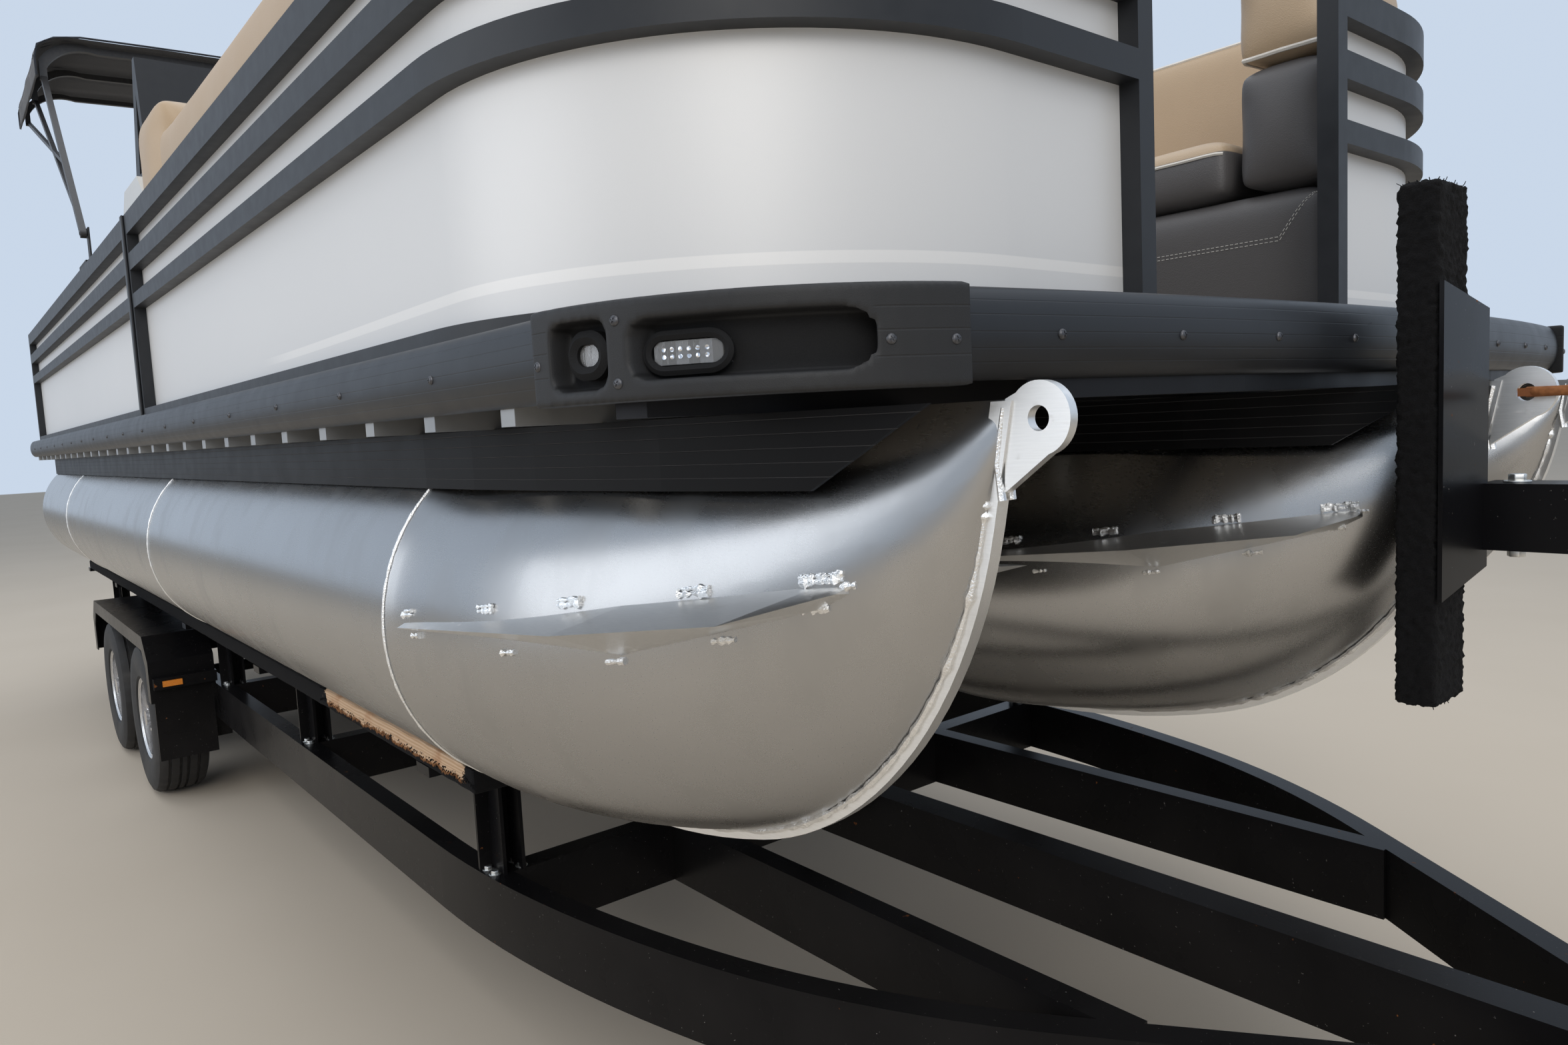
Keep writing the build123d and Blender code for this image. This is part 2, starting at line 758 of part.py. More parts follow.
def chair():
    """Seat, back and arms of the helm chair, which turn on the pedestal."""
    half = chair_width / 2
    low = pedestal_top_z + 1
    seat = block(-half, half, -half, half, low + 20, low + chair_seat_depth)
    plate = Pos(0, 0, low) * Cylinder(150, 20, align=(Align.CENTER, Align.CENTER, Align.MIN))
    back = block(-half, -half + chair_back_depth, -half, half, low + chair_seat_depth, chair_back_top_z)
    body = seat + plate + back
    for y0 in (-half, half - 70):
        arm = block(
            -half + chair_back_depth, half - 80, y0, y0 + 70, low + chair_seat_depth, low + chair_arm_height
        )
        body = body + arm
    return Pos(chair_x, chair_y, 0) * body


def arch(inset, low):
    """The line across the canvas at this depth inside it, with straight ends down to low."""
    half = bimini_pin_y + canopy_overhang - inset
    knee = half - bow_corner
    crown = canopy_crown - inset
    shoulder = canopy_crown * 0.8 - inset
    middle = (half - bow_corner * 0.3, shoulder - bow_corner * 0.12)
    edge = shoulder - bow_corner * 0.45
    edges = [
        Line((0, half, low), (0, half, edge)),
        ThreePointArc((0, half, edge), (0, middle[0], middle[1]), (0, knee, shoulder)),
        ThreePointArc((0, knee, shoulder), (0, 0, crown), (0, -knee, shoulder)),
        ThreePointArc((0, -knee, shoulder), (0, -middle[0], middle[1]), (0, -half, edge)),
        Line((0, -half, edge), (0, -half, low)),
    ]
    return edges, half


def arched_band(outer_inset, inner_inset, low, x0, x1):
    """A band between two such lines, from x0 to x1, at the canvas's height."""
    outer, outer_half = arch(outer_inset, low)
    inner, inner_half = arch(inner_inset, low)
    ends = [
        Line((0, outer_half, low), (0, inner_half, low)), Line((0, -outer_half, low), (0, -inner_half, low))
    ]
    return Pos(x0, 0, canopy_z) * extrude(make_face(outer + inner + ends), amount=x1 - x0, dir=(1, 0, 0))


def bimini_mounts():
    """The feet on the fence with the pins that the bows turn on."""
    mounts = []
    for side in (1, -1):
        plate_y = sorted((side * (bimini_pin_y - 16), side * (bimini_pin_y + 18)))
        foot = block(bimini_pin_x - 110, bimini_pin_x + 110, *plate_y, fence_top_z, fence_top_z + 12)
        ear_y = sorted((side * (bimini_pin_y - 16), side * (bimini_pin_y - 10)))
        ear = block(bimini_pin_x - 28, bimini_pin_x + 28, *ear_y, fence_top_z + 12, bimini_pin_z + 24)
        pin_y = (side * (bimini_pin_y - 12), side * (bimini_pin_y + 18))
        pin = rod((bimini_pin_x, pin_y[0], bimini_pin_z), (bimini_pin_x, pin_y[1], bimini_pin_z), 6)
        mounts.append(foot + ear + pin)
    return mounts


def bimini_bows():
    """The bows: legs from the pins and arched tops just under the canvas."""
    inset = canopy_thickness + 1
    head_z = canopy_z - canopy_drop + 12
    foot_y = bimini_pin_y + 4
    main_width = bimini_bow_table[0][2]
    head_y = bimini_pin_y + canopy_overhang - inset - main_width / 2
    foot = (bimini_pin_x, foot_y, bimini_pin_z)
    main_head = (bimini_head_x, head_y, head_z)
    frame = None
    legs = None
    for setback, share, width in bimini_bow_table:
        top_x = bimini_head_x - setback
        band = arched_band(inset, inset + width, -canopy_drop, top_x - width / 2, top_x + width / 2)
        frame = band if frame is None else frame + band
        root = tuple(a + share * (b - a) for a, b in zip(foot, main_head))
        leg = square_bar(root, (top_x, head_y, head_z), width - 6)
        legs = leg if legs is None else legs + leg
    eye = rod((bimini_pin_x, foot_y - 11, bimini_pin_z), (bimini_pin_x, foot_y + 11, bimini_pin_z), 18)
    bore = rod(
        (bimini_pin_x, foot_y - 40, bimini_pin_z), (bimini_pin_x, foot_y + 40, bimini_pin_z), 6 + fit
    )
    port = legs + eye - bore
    return frame + port + to_starboard(port)


def canvas():
    """The canvas as one arched sheet."""
    return arched_band(0, canopy_thickness, -canopy_drop, canopy_rear_x, canopy_front_x)


def motor_pod():
    """The pod behind the centre tube that carries the transom."""
    fore = centre_tube_rear_x - 5
    low = tube_low_z + 150
    inner_x = transom_x + transom_thickness
    outline = [(fore, low), (transom_x, low + 110), (transom_x, transom_top_z), (inner_x, transom_top_z)]
    outline += [(inner_x, tube_top_z), (fore, tube_top_z)]
    return side_plate(outline, -pod_half_width, pod_half_width)


def motor_bracket():
    """The clamp brackets on the transom with the tilt tube between them."""
    fore = transom_x
    parts = None
    for side in (1, -1):
        y0, y1 = sorted((side * 110, side * 140))
        outline = [(fore, tilt_z - 330), (fore, tilt_z + 14), (tilt_x, tilt_z + 34), (tilt_x - 34, tilt_z)]
        outline += [(tilt_x, tilt_z - 40), (fore - 40, tilt_z - 330)]
        ear = side_plate(outline, y0, y1)
        parts = ear if parts is None else parts + ear
    tube = rod((tilt_x, -150, tilt_z), (tilt_x, 150, tilt_z), 14)
    return parts + tube


def motor_swivel():
    """The swivel bracket that tilts on the tube and carries the steering pivot."""
    barrel = rod((tilt_x, -104, tilt_z), (tilt_x, 104, tilt_z), 30)
    bore = rod((tilt_x, -200, tilt_z), (tilt_x, 200, tilt_z), 14 + fit)
    column = block(steer_x, tilt_x - 4, -60, 60, tilt_z - swivel_length, tilt_z + 36)
    nose = block(
        steer_x - swivel_depth, steer_x + 5, -swivel_nose_half, swivel_nose_half, tilt_z - swivel_length,
        tilt_z + 36
    )
    pivot = rod((steer_x, 0, tilt_z - swivel_length - 70), (steer_x, 0, tilt_z + 70), 24)
    return barrel + column + nose - bore + pivot


def motor_midsection():
    """Mount yoke, leg, plates, gearcase and skeg, which steer."""
    front = steer_x - swivel_depth - 14
    low = tilt_z - swivel_length - 70
    yoke_low = block(steer_x - yoke_reach, steer_x + 40, -42, 42, low, low + 58)
    yoke_high = block(steer_x - yoke_reach, steer_x + 40, -60, 60, tilt_z + 46, tilt_z + 90)
    leg = side_plate([
        (front, tilt_z + 90), (front, low), (front - 40, prop_z + leg_tip_rise), (front - 30, prop_z),
        (front - leg_tip_length, prop_z), (front - leg_tip_length + 10, prop_z + leg_tip_rise),
        (front - leg_root_length, low), (front - leg_root_length, tilt_z + 90),
    ], -48, 48)
    plate_z = prop_z + prop_radius + plate_gap
    plate_outline = [
        (front - 10, 0), (front - 110, -95), (prop_x - 60, -95), (prop_x - 60, 95), (front - 110, 95)
    ]
    plate = floor_plate(plate_outline, plate_z, plate_z + 12)
    gearcase = rod((prop_x + 20, 0, prop_z), (front - 60, 0, prop_z), hub_radius)
    snout = Pos(front - 60, 0, prop_z) * Sphere(hub_radius)
    skeg_outline = [
        (front - 90, prop_z - 20), (front - 180, prop_z - 215), (front - 250, prop_z - 215), (
            front - 260, prop_z - 20
        ),
    ]
    skeg = side_plate(skeg_outline, -7, 7)
    shaft = rod((prop_x - 80, 0, prop_z), (prop_x + 20, 0, prop_z), 12)
    base = block(cowl_rear_x + 120, cowl_front_x - 120, -120, 120, tilt_z + 90, cowl_low_z)
    bore = rod((steer_x, 0, low - 20), (steer_x, 0, tilt_z + 71), 24 + fit)
    return yoke_low + yoke_high + leg + plate + gearcase + snout + skeg + shaft + base - bore


def motor_cowl():
    """The hollow cowl, narrowed at its front, with a shell all round the engine."""
    low = cowl_low_z
    outline = [
        (cowl_front_x - 70, low), (cowl_front_x, low + 170), (cowl_front_x - 20, low + 350),
        (cowl_front_x - 110, cowl_high_z - 40), (cowl_front_x - 240, cowl_high_z), (
            cowl_rear_x + 140, cowl_high_z - 50
        ),
        (cowl_rear_x, cowl_high_z - 190), (cowl_rear_x + 20, low + 60), (cowl_rear_x + 90, low),
    ]
    solid = side_plate(outline, -cowl_half_width, cowl_half_width)
    narrow = [
        (cowl_front_x + 1, cowl_half_width - cowl_taper), (cowl_front_x - cowl_taper, cowl_half_width + 1),
        (cowl_front_x + 1, cowl_half_width + 1),
    ]
    for corner in pair(floor_plate(narrow, low - 1, cowl_high_z + 1)):
        solid = solid - corner
    wall = cowl_wall
    room = [
        (cowl_front_x - wall - 60, low + wall), (cowl_front_x - wall - 60, low + 330),
        (cowl_front_x - wall - 120, cowl_high_z - wall - 60), (
            cowl_rear_x + wall + 130, cowl_high_z - wall - 70
        ),
        (cowl_rear_x + wall + 30, cowl_high_z - wall - 190), (cowl_rear_x + wall + 60, low + wall),
    ]
    return solid - side_plate(room, -cowl_half_width + 2 * wall, cowl_half_width - 2 * wall)


def engine_block():
    """The engine inside the cowl as one plain mass."""
    return block(
        cowl_rear_x + 170, cowl_front_x - 180, -150, 150, cowl_low_z + cowl_wall, cowl_high_z - 190
    )


def propeller():
    """Three blades on a hub behind the gearcase."""
    hub = rod((prop_x - 75, 0, prop_z), (prop_x + 15, 0, prop_z), hub_radius - 8)
    bore = rod((prop_x - 120, 0, prop_z), (prop_x + 60, 0, prop_z), 12 + fit)
    blades = hub
    for turn in (0, 120, 240):
        blade = Pos(0, 0, prop_radius / 2 + 18) * Rot(0, 0, 28) * Box(12, 104, prop_radius - 44)
        blades = blades + Pos(prop_x - 28, 0, prop_z) * Rot(turn, 0, 0) * blade
    return blades - bore


def frame_edge(inset):
    """The plan corners and arcs of one main rail's side at this inset, port side, and its ends."""
    y = rail_outer_y - inset
    bend = radians(frame_bend_heading)
    hook = radians(frame_hook_heading)
    centre_y = rail_outer_y - frame_bend_radius
    first = frame_bend_radius - inset

    def on_bend(angle):
        return frame_bend_x + first * sin(angle), centre_y + first * cos(angle)

    shift = frame_bend_radius - frame_hook_radius
    hook_x = frame_bend_x + shift * sin(bend)
    hook_y = centre_y + shift * cos(bend)
    second = frame_hook_radius - inset

    def on_hook(angle):
        return hook_x + second * sin(angle), hook_y + second * cos(angle)

    start = (frame_rear_x, y)
    straight_end = (frame_bend_x, y)
    tail = on_hook(hook)
    run = (tail[1] - tongue_half_width * 0.5) / tan(hook)
    end = (tail[0] + run, tongue_half_width * 0.5)
    edges = [
        Line(start, straight_end),
        ThreePointArc(straight_end, on_bend(bend / 2), on_bend(bend)),
        ThreePointArc(on_hook(bend), on_hook((bend + hook) / 2), tail),
        Line(tail, end),
    ]
    return edges, start, end


def trailer_frame():
    """Two curved main rails, the tongue, the inner beams and the crossmembers, welded up."""
    outer, outer_start, outer_end = frame_edge(0)
    inner, inner_start, inner_end = frame_edge(rail_width)
    plan = make_face(outer + inner + [Line(outer_start, inner_start), Line(outer_end, inner_end)])
    rail = extrude(Pos(0, 0, rail_low_face_z) * plan, amount=rail_height)
    frame = rail + to_starboard(rail)
    tongue_end = coupler_tip_x - coupler_length
    frame = frame + block(
        crossmember_x[0], tongue_end, -tongue_half_width, tongue_half_width, rail_low_face_z, rail_top_z
    )
    inside = rail_outer_y - rail_width / 2
    for x in crossmember_x:
        low = rail_low_face_z
        frame = frame + block(x - crossmember_length, x, -inside, inside, low, rail_top_z)
    beam_end = outer_end[0] - (inner_beam_y + rail_width - tongue_half_width * 0.5) / tan(
        radians(frame_hook_heading)
    ) - 30
    for side in (1, -1):
        y0, y1 = sorted((side * inner_beam_y, side * (inner_beam_y + rail_width)))
        frame = frame + block(crossmember_x[0] - 10, beam_end, y0, y1, rail_low_face_z, rail_top_z)
    return frame


def bunk_rows():
    """The y limits of the six bunk boards."""
    rows = []
    for centre in (tube_spacing, 0, -tube_spacing):
        near = bunk_gap / 2
        rows.append((centre - near - bunk_width, centre - near))
        rows.append((centre + near, centre + near + bunk_width))
    return rows


def bunk_top_z():
    """The height of the bunks, just under the tubes beside the keel strip."""
    return tube_z - sqrt(tube_radius ** 2 - (bunk_gap / 2) ** 2) - bunk_clearance


def bunks():
    """Six carpeted boards."""
    top = bunk_top_z()
    return [block(bunk_rear_x, bunk_front_x, y0, y1, top - bunk_thickness, top) for y0, y1 in bunk_rows()]


def bunk_bracket(mid_x, centre, feet):
    """A crossbar under one pair of bunks on two angle uprights from the frame."""
    top = bunk_top_z() - bunk_thickness
    x0 = mid_x - bracket_length / 2
    reach = bunk_gap / 2 + bunk_width
    bracket = block(x0, x0 + bracket_length, centre - reach, centre + reach, top - bracket_arm_height, top)
    for y0 in feet:
        bracket = bracket + block(x0, x0 + bracket_length, y0, y0 + bracket_plate, rail_top_z, top)
        bracket = bracket + block(x0, x0 + bracket_plate, y0, y0 + bracket_flange, rail_top_z, top)
    return bracket


def bunk_brackets():
    """The brackets of all three pairs of bunks at every crossmember."""
    outer_foot = rail_outer_y - rail_width + 5
    side_feet = (outer_foot - bracket_feet, outer_foot)
    centre_feet = (-bracket_feet, bracket_feet - bracket_plate)
    brackets = []
    for x in crossmember_x:
        mid_x = x - crossmember_length / 2
        brackets += pair(bunk_bracket(mid_x, tube_spacing, side_feet))
        brackets.append(bunk_bracket(mid_x, 0, centre_feet))
    return brackets


def fender():
    """The tandem fender to port: a folded strip with a side lip, a stone guard and a lamp bar."""
    front = front_wheel_x + tyre_radius + fender_gap
    rear = rear_wheel_x - tyre_radius - fender_gap
    low = fender_low_z
    top = fender_top_z
    slope = fender_slope
    t = fender_thickness
    outer = [
        (front, low), (front, top - slope), (front - slope, top),
        (rear + slope, top), (rear, top - slope), (rear, low),
    ]
    inner = [
        (rear + t, low), (rear + t, top - slope - t / 2), (rear + slope + t / 2, top - t),
        (front - slope - t / 2, top - t), (front - t, top - slope - t / 2), (front - t, low),
    ]
    strip = side_plate(outer + inner, fender_inner_y, fender_outer_y)
    drop = fender_side_drop
    lip_inner = [
        (rear + drop, low), (rear + drop, top - slope - drop / 2), (rear + slope + drop / 2, top - drop),
        (front - slope - drop / 2, top - drop), (front - drop, top - slope - drop / 2), (front - drop, low),
    ]
    lip = side_plate(outer + lip_inner, fender_outer_y - t, fender_outer_y)
    guard = block(front - t, front, fender_inner_y + 12, fender_outer_y - 12, flap_low_z, low + 20)
    bar = block(front, front + lamp_bar_depth, fender_inner_y, fender_outer_y - 10, low + 60, low + 105)
    return strip + lip + guard + bar


def axles():
    """Two axle tubes with spindles, and the springs and hangers under each rail."""
    parts = []
    spindle_end = tyre_inner_y + tyre_width * 0.72
    for x in (front_wheel_x, rear_wheel_x):
        beam = rod((x, -tyre_inner_y + 22, tyre_radius), (x, tyre_inner_y - 22, tyre_radius), axle_radius)
        beam = beam + rod((x, -spindle_end, tyre_radius), (x, spindle_end, tyre_radius), spindle_radius)
        parts.append(beam)
    mid_y = rail_outer_y - rail_width / 2
    y0 = mid_y - spring_width / 2
    y1 = mid_y + spring_width / 2
    spring_low = tyre_radius - axle_radius - spring_height
    centre_x = (front_wheel_x + rear_wheel_x) / 2
    gear = None
    for x in (front_wheel_x, rear_wheel_x):
        leaf = block(
            x - spring_half_length, x + spring_half_length, y0, y1, spring_low, spring_low + spring_height
        )
        gear = leaf if gear is None else gear + leaf
    reach = (front_wheel_x - rear_wheel_x) / 2 + spring_half_length
    for x in (centre_x - reach + 40, centre_x, centre_x + reach - 40):
        gear = gear + block(x - 60, x + 60, y0, y1, spring_low, rail_low_face_z)
    return parts + pair(gear)


def tyre(x, side):
    """One tyre as a ring with rounded shoulders."""
    half = tyre_width / 2
    profile = [
        (rim_radius, -half + 18), (rim_radius + 50, -half), (tyre_radius - 45, -half),
        (tyre_radius - 8, -half + 28), (tyre_radius, 0), (tyre_radius - 8, half - 28),
        (tyre_radius - 45, half), (rim_radius + 50, half), (rim_radius, half - 18),
    ]
    outline = make_face(Polyline(*[(r, 0, y) for r, y in profile], close=True))
    ring = revolve(outline, axis=Axis.Z)
    mid_y = side * (tyre_inner_y + half)
    return Pos(x, mid_y, tyre_radius) * Rot(90, 0, 0) * ring


def rim(x, side):
    """One cast wheel: barrel, six spokes and the hub that runs on the spindle."""
    half = tyre_width / 2 - 20
    barrel = Cylinder(rim_radius - fit / 2, 2 * half) - Cylinder(rim_radius - 12, 2 * half + 2)
    disc_z = half - 38
    disc = Pos(0, 0, disc_z) * Cylinder(70, 26)
    wheel = barrel + disc
    for turn in range(0, 360, 60):
        spoke = block(50, rim_radius - 8, -22, 22, disc_z - 11, disc_z + 11)
        wheel = wheel + Rot(0, 0, turn) * spoke
    drum = Pos(0, 0, -half + 6) * Cylinder(
        hub_drum_radius, disc_z + half, align=(Align.CENTER, Align.CENTER, Align.MIN)
    )
    cap = Pos(0, 0, disc_z) * Cylinder(34, 44, align=(Align.CENTER, Align.CENTER, Align.MIN))
    spindle_tip = tyre_width * 0.22 + 6
    bore = Pos(0, 0, -half - 10) * Cylinder(
        spindle_radius + spindle_clearance, half + 10 + spindle_tip,
        align=(Align.CENTER, Align.CENTER, Align.MIN)
    )
    wheel = wheel + drum + cap - bore
    mid_y = side * (tyre_inner_y + tyre_width / 2)
    return Pos(x, mid_y, tyre_radius) * Rot(-side * 90, 0, 0) * wheel


def winch_stand():
    """Post and arm on the tongue, with the plate that holds the bow stop."""
    half = stand_width / 2
    far = stand_x + stand_width
    post = block(stand_x, far, -half, half, rail_top_z, arm_high_z)
    arm = block(arm_rear_x, far, -half, half, arm_low_z, arm_high_z)
    foot = block(stand_x - 60, far + 60, -half, half, rail_top_z, rail_top_z + 10)
    brace_outline = [
        (stand_x - 250, rail_top_z + 5), (stand_x - 180, rail_top_z + 5),
        (stand_x + 10, rail_top_z + 330), (stand_x + 10, rail_top_z + 420),
    ]
    brace = side_plate(brace_outline, -half + 10, half - 10)
    brace_foot = block(stand_x - 270, stand_x - 60, -half, half, rail_top_z, rail_top_z + 10)
    face = stop_x + stop_depth
    starboard = stop_inner_y - stop_width
    cross = block(face, face + stop_plate, starboard, half, arm_low_z, arm_high_z)
    plate_outline = [
        (starboard, stop_plate_high_z), (starboard, stop_plate_low_z),
        (stop_plate_inner_y, stop_plate_low_z + 30), (stop_plate_inner_y, stop_plate_high_z - 32),
    ]
    plate_face = make_face(Polyline(*[(face, y, z) for y, z in plate_outline], close=True))
    plate = extrude(plate_face, amount=stop_plate, dir=(1, 0, 0))
    return post + arm + foot + brace + brace_foot + cross + plate


def bow_stop():
    """The carpeted upright board to starboard of the centre stem."""
    return block(
        stop_x, stop_x + stop_depth, stop_inner_y - stop_width, stop_inner_y, stop_low_z, stop_high_z
    )


def winch():
    """Winch frame, drum and handle on top of the arm."""
    low = arm_high_z
    x0 = stand_x - 30
    x1 = stand_x + stand_width + 20
    cheeks = block(x0, x1, -45, -38, low, winch_z + 60) + block(x0, x1, 38, 45, low, winch_z + 60)
    base = block(x0, x1, -45, 45, low, low + 6)
    drum = rod((winch_x, -40, winch_z), (winch_x, 40, winch_z), drum_radius)
    shaft = rod((winch_x - 30, 38, winch_z + 30), (winch_x - 30, 100, winch_z + 30), 9)
    handle = block(winch_x - 40, winch_x - 20, 90, 100, winch_z + 30, winch_z + 210)
    grip = rod((winch_x - 30, 92, winch_z + 200), (winch_x - 30, 190, winch_z + 200), 13)
    return base + cheeks + drum + shaft + handle + grip


def winch_strap():
    """The taut strap from the drum to the hook in the centre eye."""
    eye_x = centre_lead
    hook_y = -(eye_thickness / 2 + 12)
    ring_x = eye_x + eye_radius + 44
    drum = Vector(winch_x, 0, winch_z)
    end = Vector(ring_x, 0, eye_z)
    slope = (end - drum).normalized()
    lift = Vector(slope.Z, 0, -slope.X) * (drum_radius + strap_thickness / 2 + 0.5)
    start = drum + lift
    run = end - start
    band = Box(strap_width, strap_thickness, run.length, align=(Align.CENTER, Align.CENTER, Align.MIN))
    strap = Plane(origin=start, x_dir=Vector(0, 1, 0), z_dir=run) * band
    ring = block(ring_x - 8, ring_x + 8, hook_y - 6, strap_width / 2 + 4, eye_z - 8, eye_z + 8)
    bar = block(eye_x - 6, ring_x - 4, hook_y - 6, hook_y + 6, eye_z - 6, eye_z + 6)
    tip = block(eye_x - 5, eye_x + 5, hook_y, eye_thickness / 2 + 10, eye_z - 5, eye_z + 5)
    return strap + ring + bar + tip


def jack():
    """The swing jack on the tongue: its fixed tube with bracket and crank, and its sliding leg."""
    tube = Pos(jack_x, jack_y, jack_tube_low_z) * Cylinder(
        jack_tube_radius, jack_tube_high_z - jack_tube_low_z, align=(Align.CENTER, Align.CENTER, Align.MIN)
    )
    bore = Pos(jack_x, jack_y, jack_tube_low_z - 1) * Cylinder(
        jack_leg_radius + fit, jack_tube_high_z - jack_tube_low_z - 40,
        align=(Align.CENTER, Align.CENTER, Align.MIN)
    )
    bracket = block(
        jack_x - 70, jack_x + 70, jack_y, -tongue_half_width, rail_low_face_z + 25, rail_top_z - 25
    )
    head = Pos(jack_x, jack_y, jack_tube_high_z) * Cylinder(
        jack_tube_radius + 6, 40, align=(Align.CENTER, Align.CENTER, Align.MIN)
    )
    crank = rod((jack_x, jack_y, jack_tube_high_z + 40), (jack_x, jack_y, jack_tube_high_z + 70), 8)
    crank = crank + rod(
        (jack_x - 4, jack_y, jack_tube_high_z + 64), (jack_x + 150, jack_y, jack_tube_high_z + 64), 8
    )
    crank = crank + rod(
        (jack_x + 142, jack_y, jack_tube_high_z + 60), (jack_x + 142, jack_y, jack_tube_high_z + 150), 13
    )
    fixed = tube + bracket + head + crank - bore
    leg_top = jack_tube_high_z - 60 - jack_travel
    leg = Pos(jack_x, jack_y, jack_foot_height) * Cylinder(
        jack_leg_radius, leg_top - jack_foot_height, align=(Align.CENTER, Align.CENTER, Align.MIN)
    )
    foot = Pos(jack_x, jack_y, 0) * Cylinder(
        jack_foot_radius, jack_foot_height, align=(Align.CENTER, Align.CENTER, Align.MIN)
    )
    return fixed, leg + foot


def coupler():
    """The ball coupler on the tongue's end, its socket open from below, with its latch."""
    rear = coupler_tip_x - coupler_length
    mid_z = rail_low_face_z + 60
    neck = block(rear, coupler_tip_x - 60, -45, 45, mid_z, rail_top_z - 12)
    head_x = coupler_tip_x - 50
    head = Pos(head_x, 0, mid_z - 18) * Cylinder(
        50, rail_top_z - 12 - mid_z + 18, align=(Align.CENTER, Align.CENTER, Align.MIN)
    )
    body = neck + head
    socket = Pos(head_x, 0, mid_z - 30) * Cylinder(
        ball_radius + ball_clearance, 56, align=(Align.CENTER, Align.CENTER, Align.MIN)
    )
    latch = block(head_x - 150, head_x - 40, -14, 14, rail_top_z - 12, rail_top_z + 22)
    return body + latch - socket


def lamps():
    """Amber side lamps on the fenders' bars and the red tail lamps on the frame's end."""
    face = front_wheel_x + tyre_radius + fender_gap + lamp_bar_depth
    low = fender_low_z + 71
    amber = block(face, face + 10, fender_outer_y - 110, fender_outer_y - 40, low, low + 23)
    tail = block(
        frame_rear_x - 30, frame_rear_x, rail_outer_y - 180, rail_outer_y - 20, rail_top_z - 110,
        rail_top_z - 30
    )
    return pair(amber) + pair(tail)


parts = {}


def keep(name, *solids):
    """File one node's solids under its name."""
    parts[name] = list(solids)


hull_port_centre = pontoon(tube_rear_x)
hull_centre = pontoon(centre_tube_rear_x - centre_lead)
keel_piece = keel_and_eye(hull_port_centre)
strake_piece = strake(hull_port_centre)
skirt_piece = skirt(tube_rear_x, hull_port_centre)
skirt_centre = skirt(centre_tube_rear_x - centre_lead, hull_centre)
tube_places = [(0, tube_spacing), (centre_lead, 0), (0, -tube_spacing)]

keep("pontoon_port", Pos(0, tube_spacing, 0) * hull_port_centre)
keep("pontoon_starboard", Pos(0, -tube_spacing, 0) * hull_port_centre)
keep("pontoon_centre", Pos(centre_lead, 0, 0) * hull_centre)
keep("nose_keels", *[Pos(x, y, 0) * keel_piece for x, y in tube_places])
strakes = [Pos(x, y, 0) * piece for x, y in tube_places for piece in pair(strake_piece)]
keep("lifting_strakes", *strakes)
skirts = []
for x, y in tube_places:
    web = skirt_centre if y == 0 else skirt_piece
    skirts += [Pos(x, y, 0) * piece for piece in pair(web)]
keep("riser_skirts", *skirts)

members = []
member_room = deck_slice(-member_edge_gap, tube_top_z, deck_low_z)
member_x = member_first_x
while member_x > stern_x + member_width:
    x0 = member_x - member_width / 2
    members.append(
        member_room & block(x0, x0 + member_width, -half_beam, half_beam, tube_top_z, deck_low_z)
    )
    member_x -= member_pitch
keep("cross_members", *members)
keep("deck", deck_slice(0, deck_low_z, deck_z))
keep("rub_rail", rub_rail())
caps, lenses = corner_caps()
keep("bow_corner_caps", *caps)
keep("bow_lights", *lenses)

bow_frames, bow_panels, aft_frames, aft_panels = fence_parts()
keep("bow_fence_frames", *bow_frames)
keep("bow_fence_panels", *bow_panels)
keep("aft_fence_frames", *aft_frames)
keep("aft_fence_panels", *aft_panels)
keep("stern_fence", *stern_fence())
bow_pin = bow_gate_pin()
side_pin = side_gate_pin()
stern_pin = stern_gate_pin()
bow_leaf = gate_leaf(2 * (bow_gate_half_width - gate_end_gap))
keep("bow_gate", at_pin(bow_pin[0], bow_pin[1], 180, bow_leaf))
keep("side_gate", at_pin(side_pin[0], side_pin[1], 180, gate_leaf(side_gate_length)))
keep("stern_gate", at_pin(stern_pin[0], stern_pin[1], -90, gate_leaf(stern_gate_length)))

port_base, port_seats, port_backs = lounge(back_top_z)
star_base, star_seats, star_backs = lounge(end_top_z)
bench_base, bench_seat, bench_back = stern_bench()
keep("lounge_bases", port_base, to_starboard(star_base), bench_base)
keep("lounge_cushions", *port_seats, *[to_starboard(s) for s in star_seats], bench_seat)
keep("lounge_backs", *port_backs, *[to_starboard(s) for s in star_backs], bench_back)

keep("helm_console", console())
keep("windscreen", windscreen())
keep("steering_wheel", steering_wheel())
pedestal = Pos(chair_x, chair_y, deck_z) * Cylinder(
    pedestal_radius, pedestal_top_z - deck_z, align=(Align.CENTER, Align.CENTER, Align.MIN)
)
keep("chair_pedestal", pedestal)
keep("helm_chair", chair())

keep("bimini_mounts", *bimini_mounts())
keep("bimini_bows", bimini_bows())
keep("canopy", canvas())

keep("motor_pod", motor_pod())
keep("motor_bracket", motor_bracket())
keep("motor_swivel", motor_swivel())
keep("motor_midsection", motor_midsection())
keep("motor_cowl", motor_cowl())
keep("engine_block", engine_block())
keep("propeller", propeller())

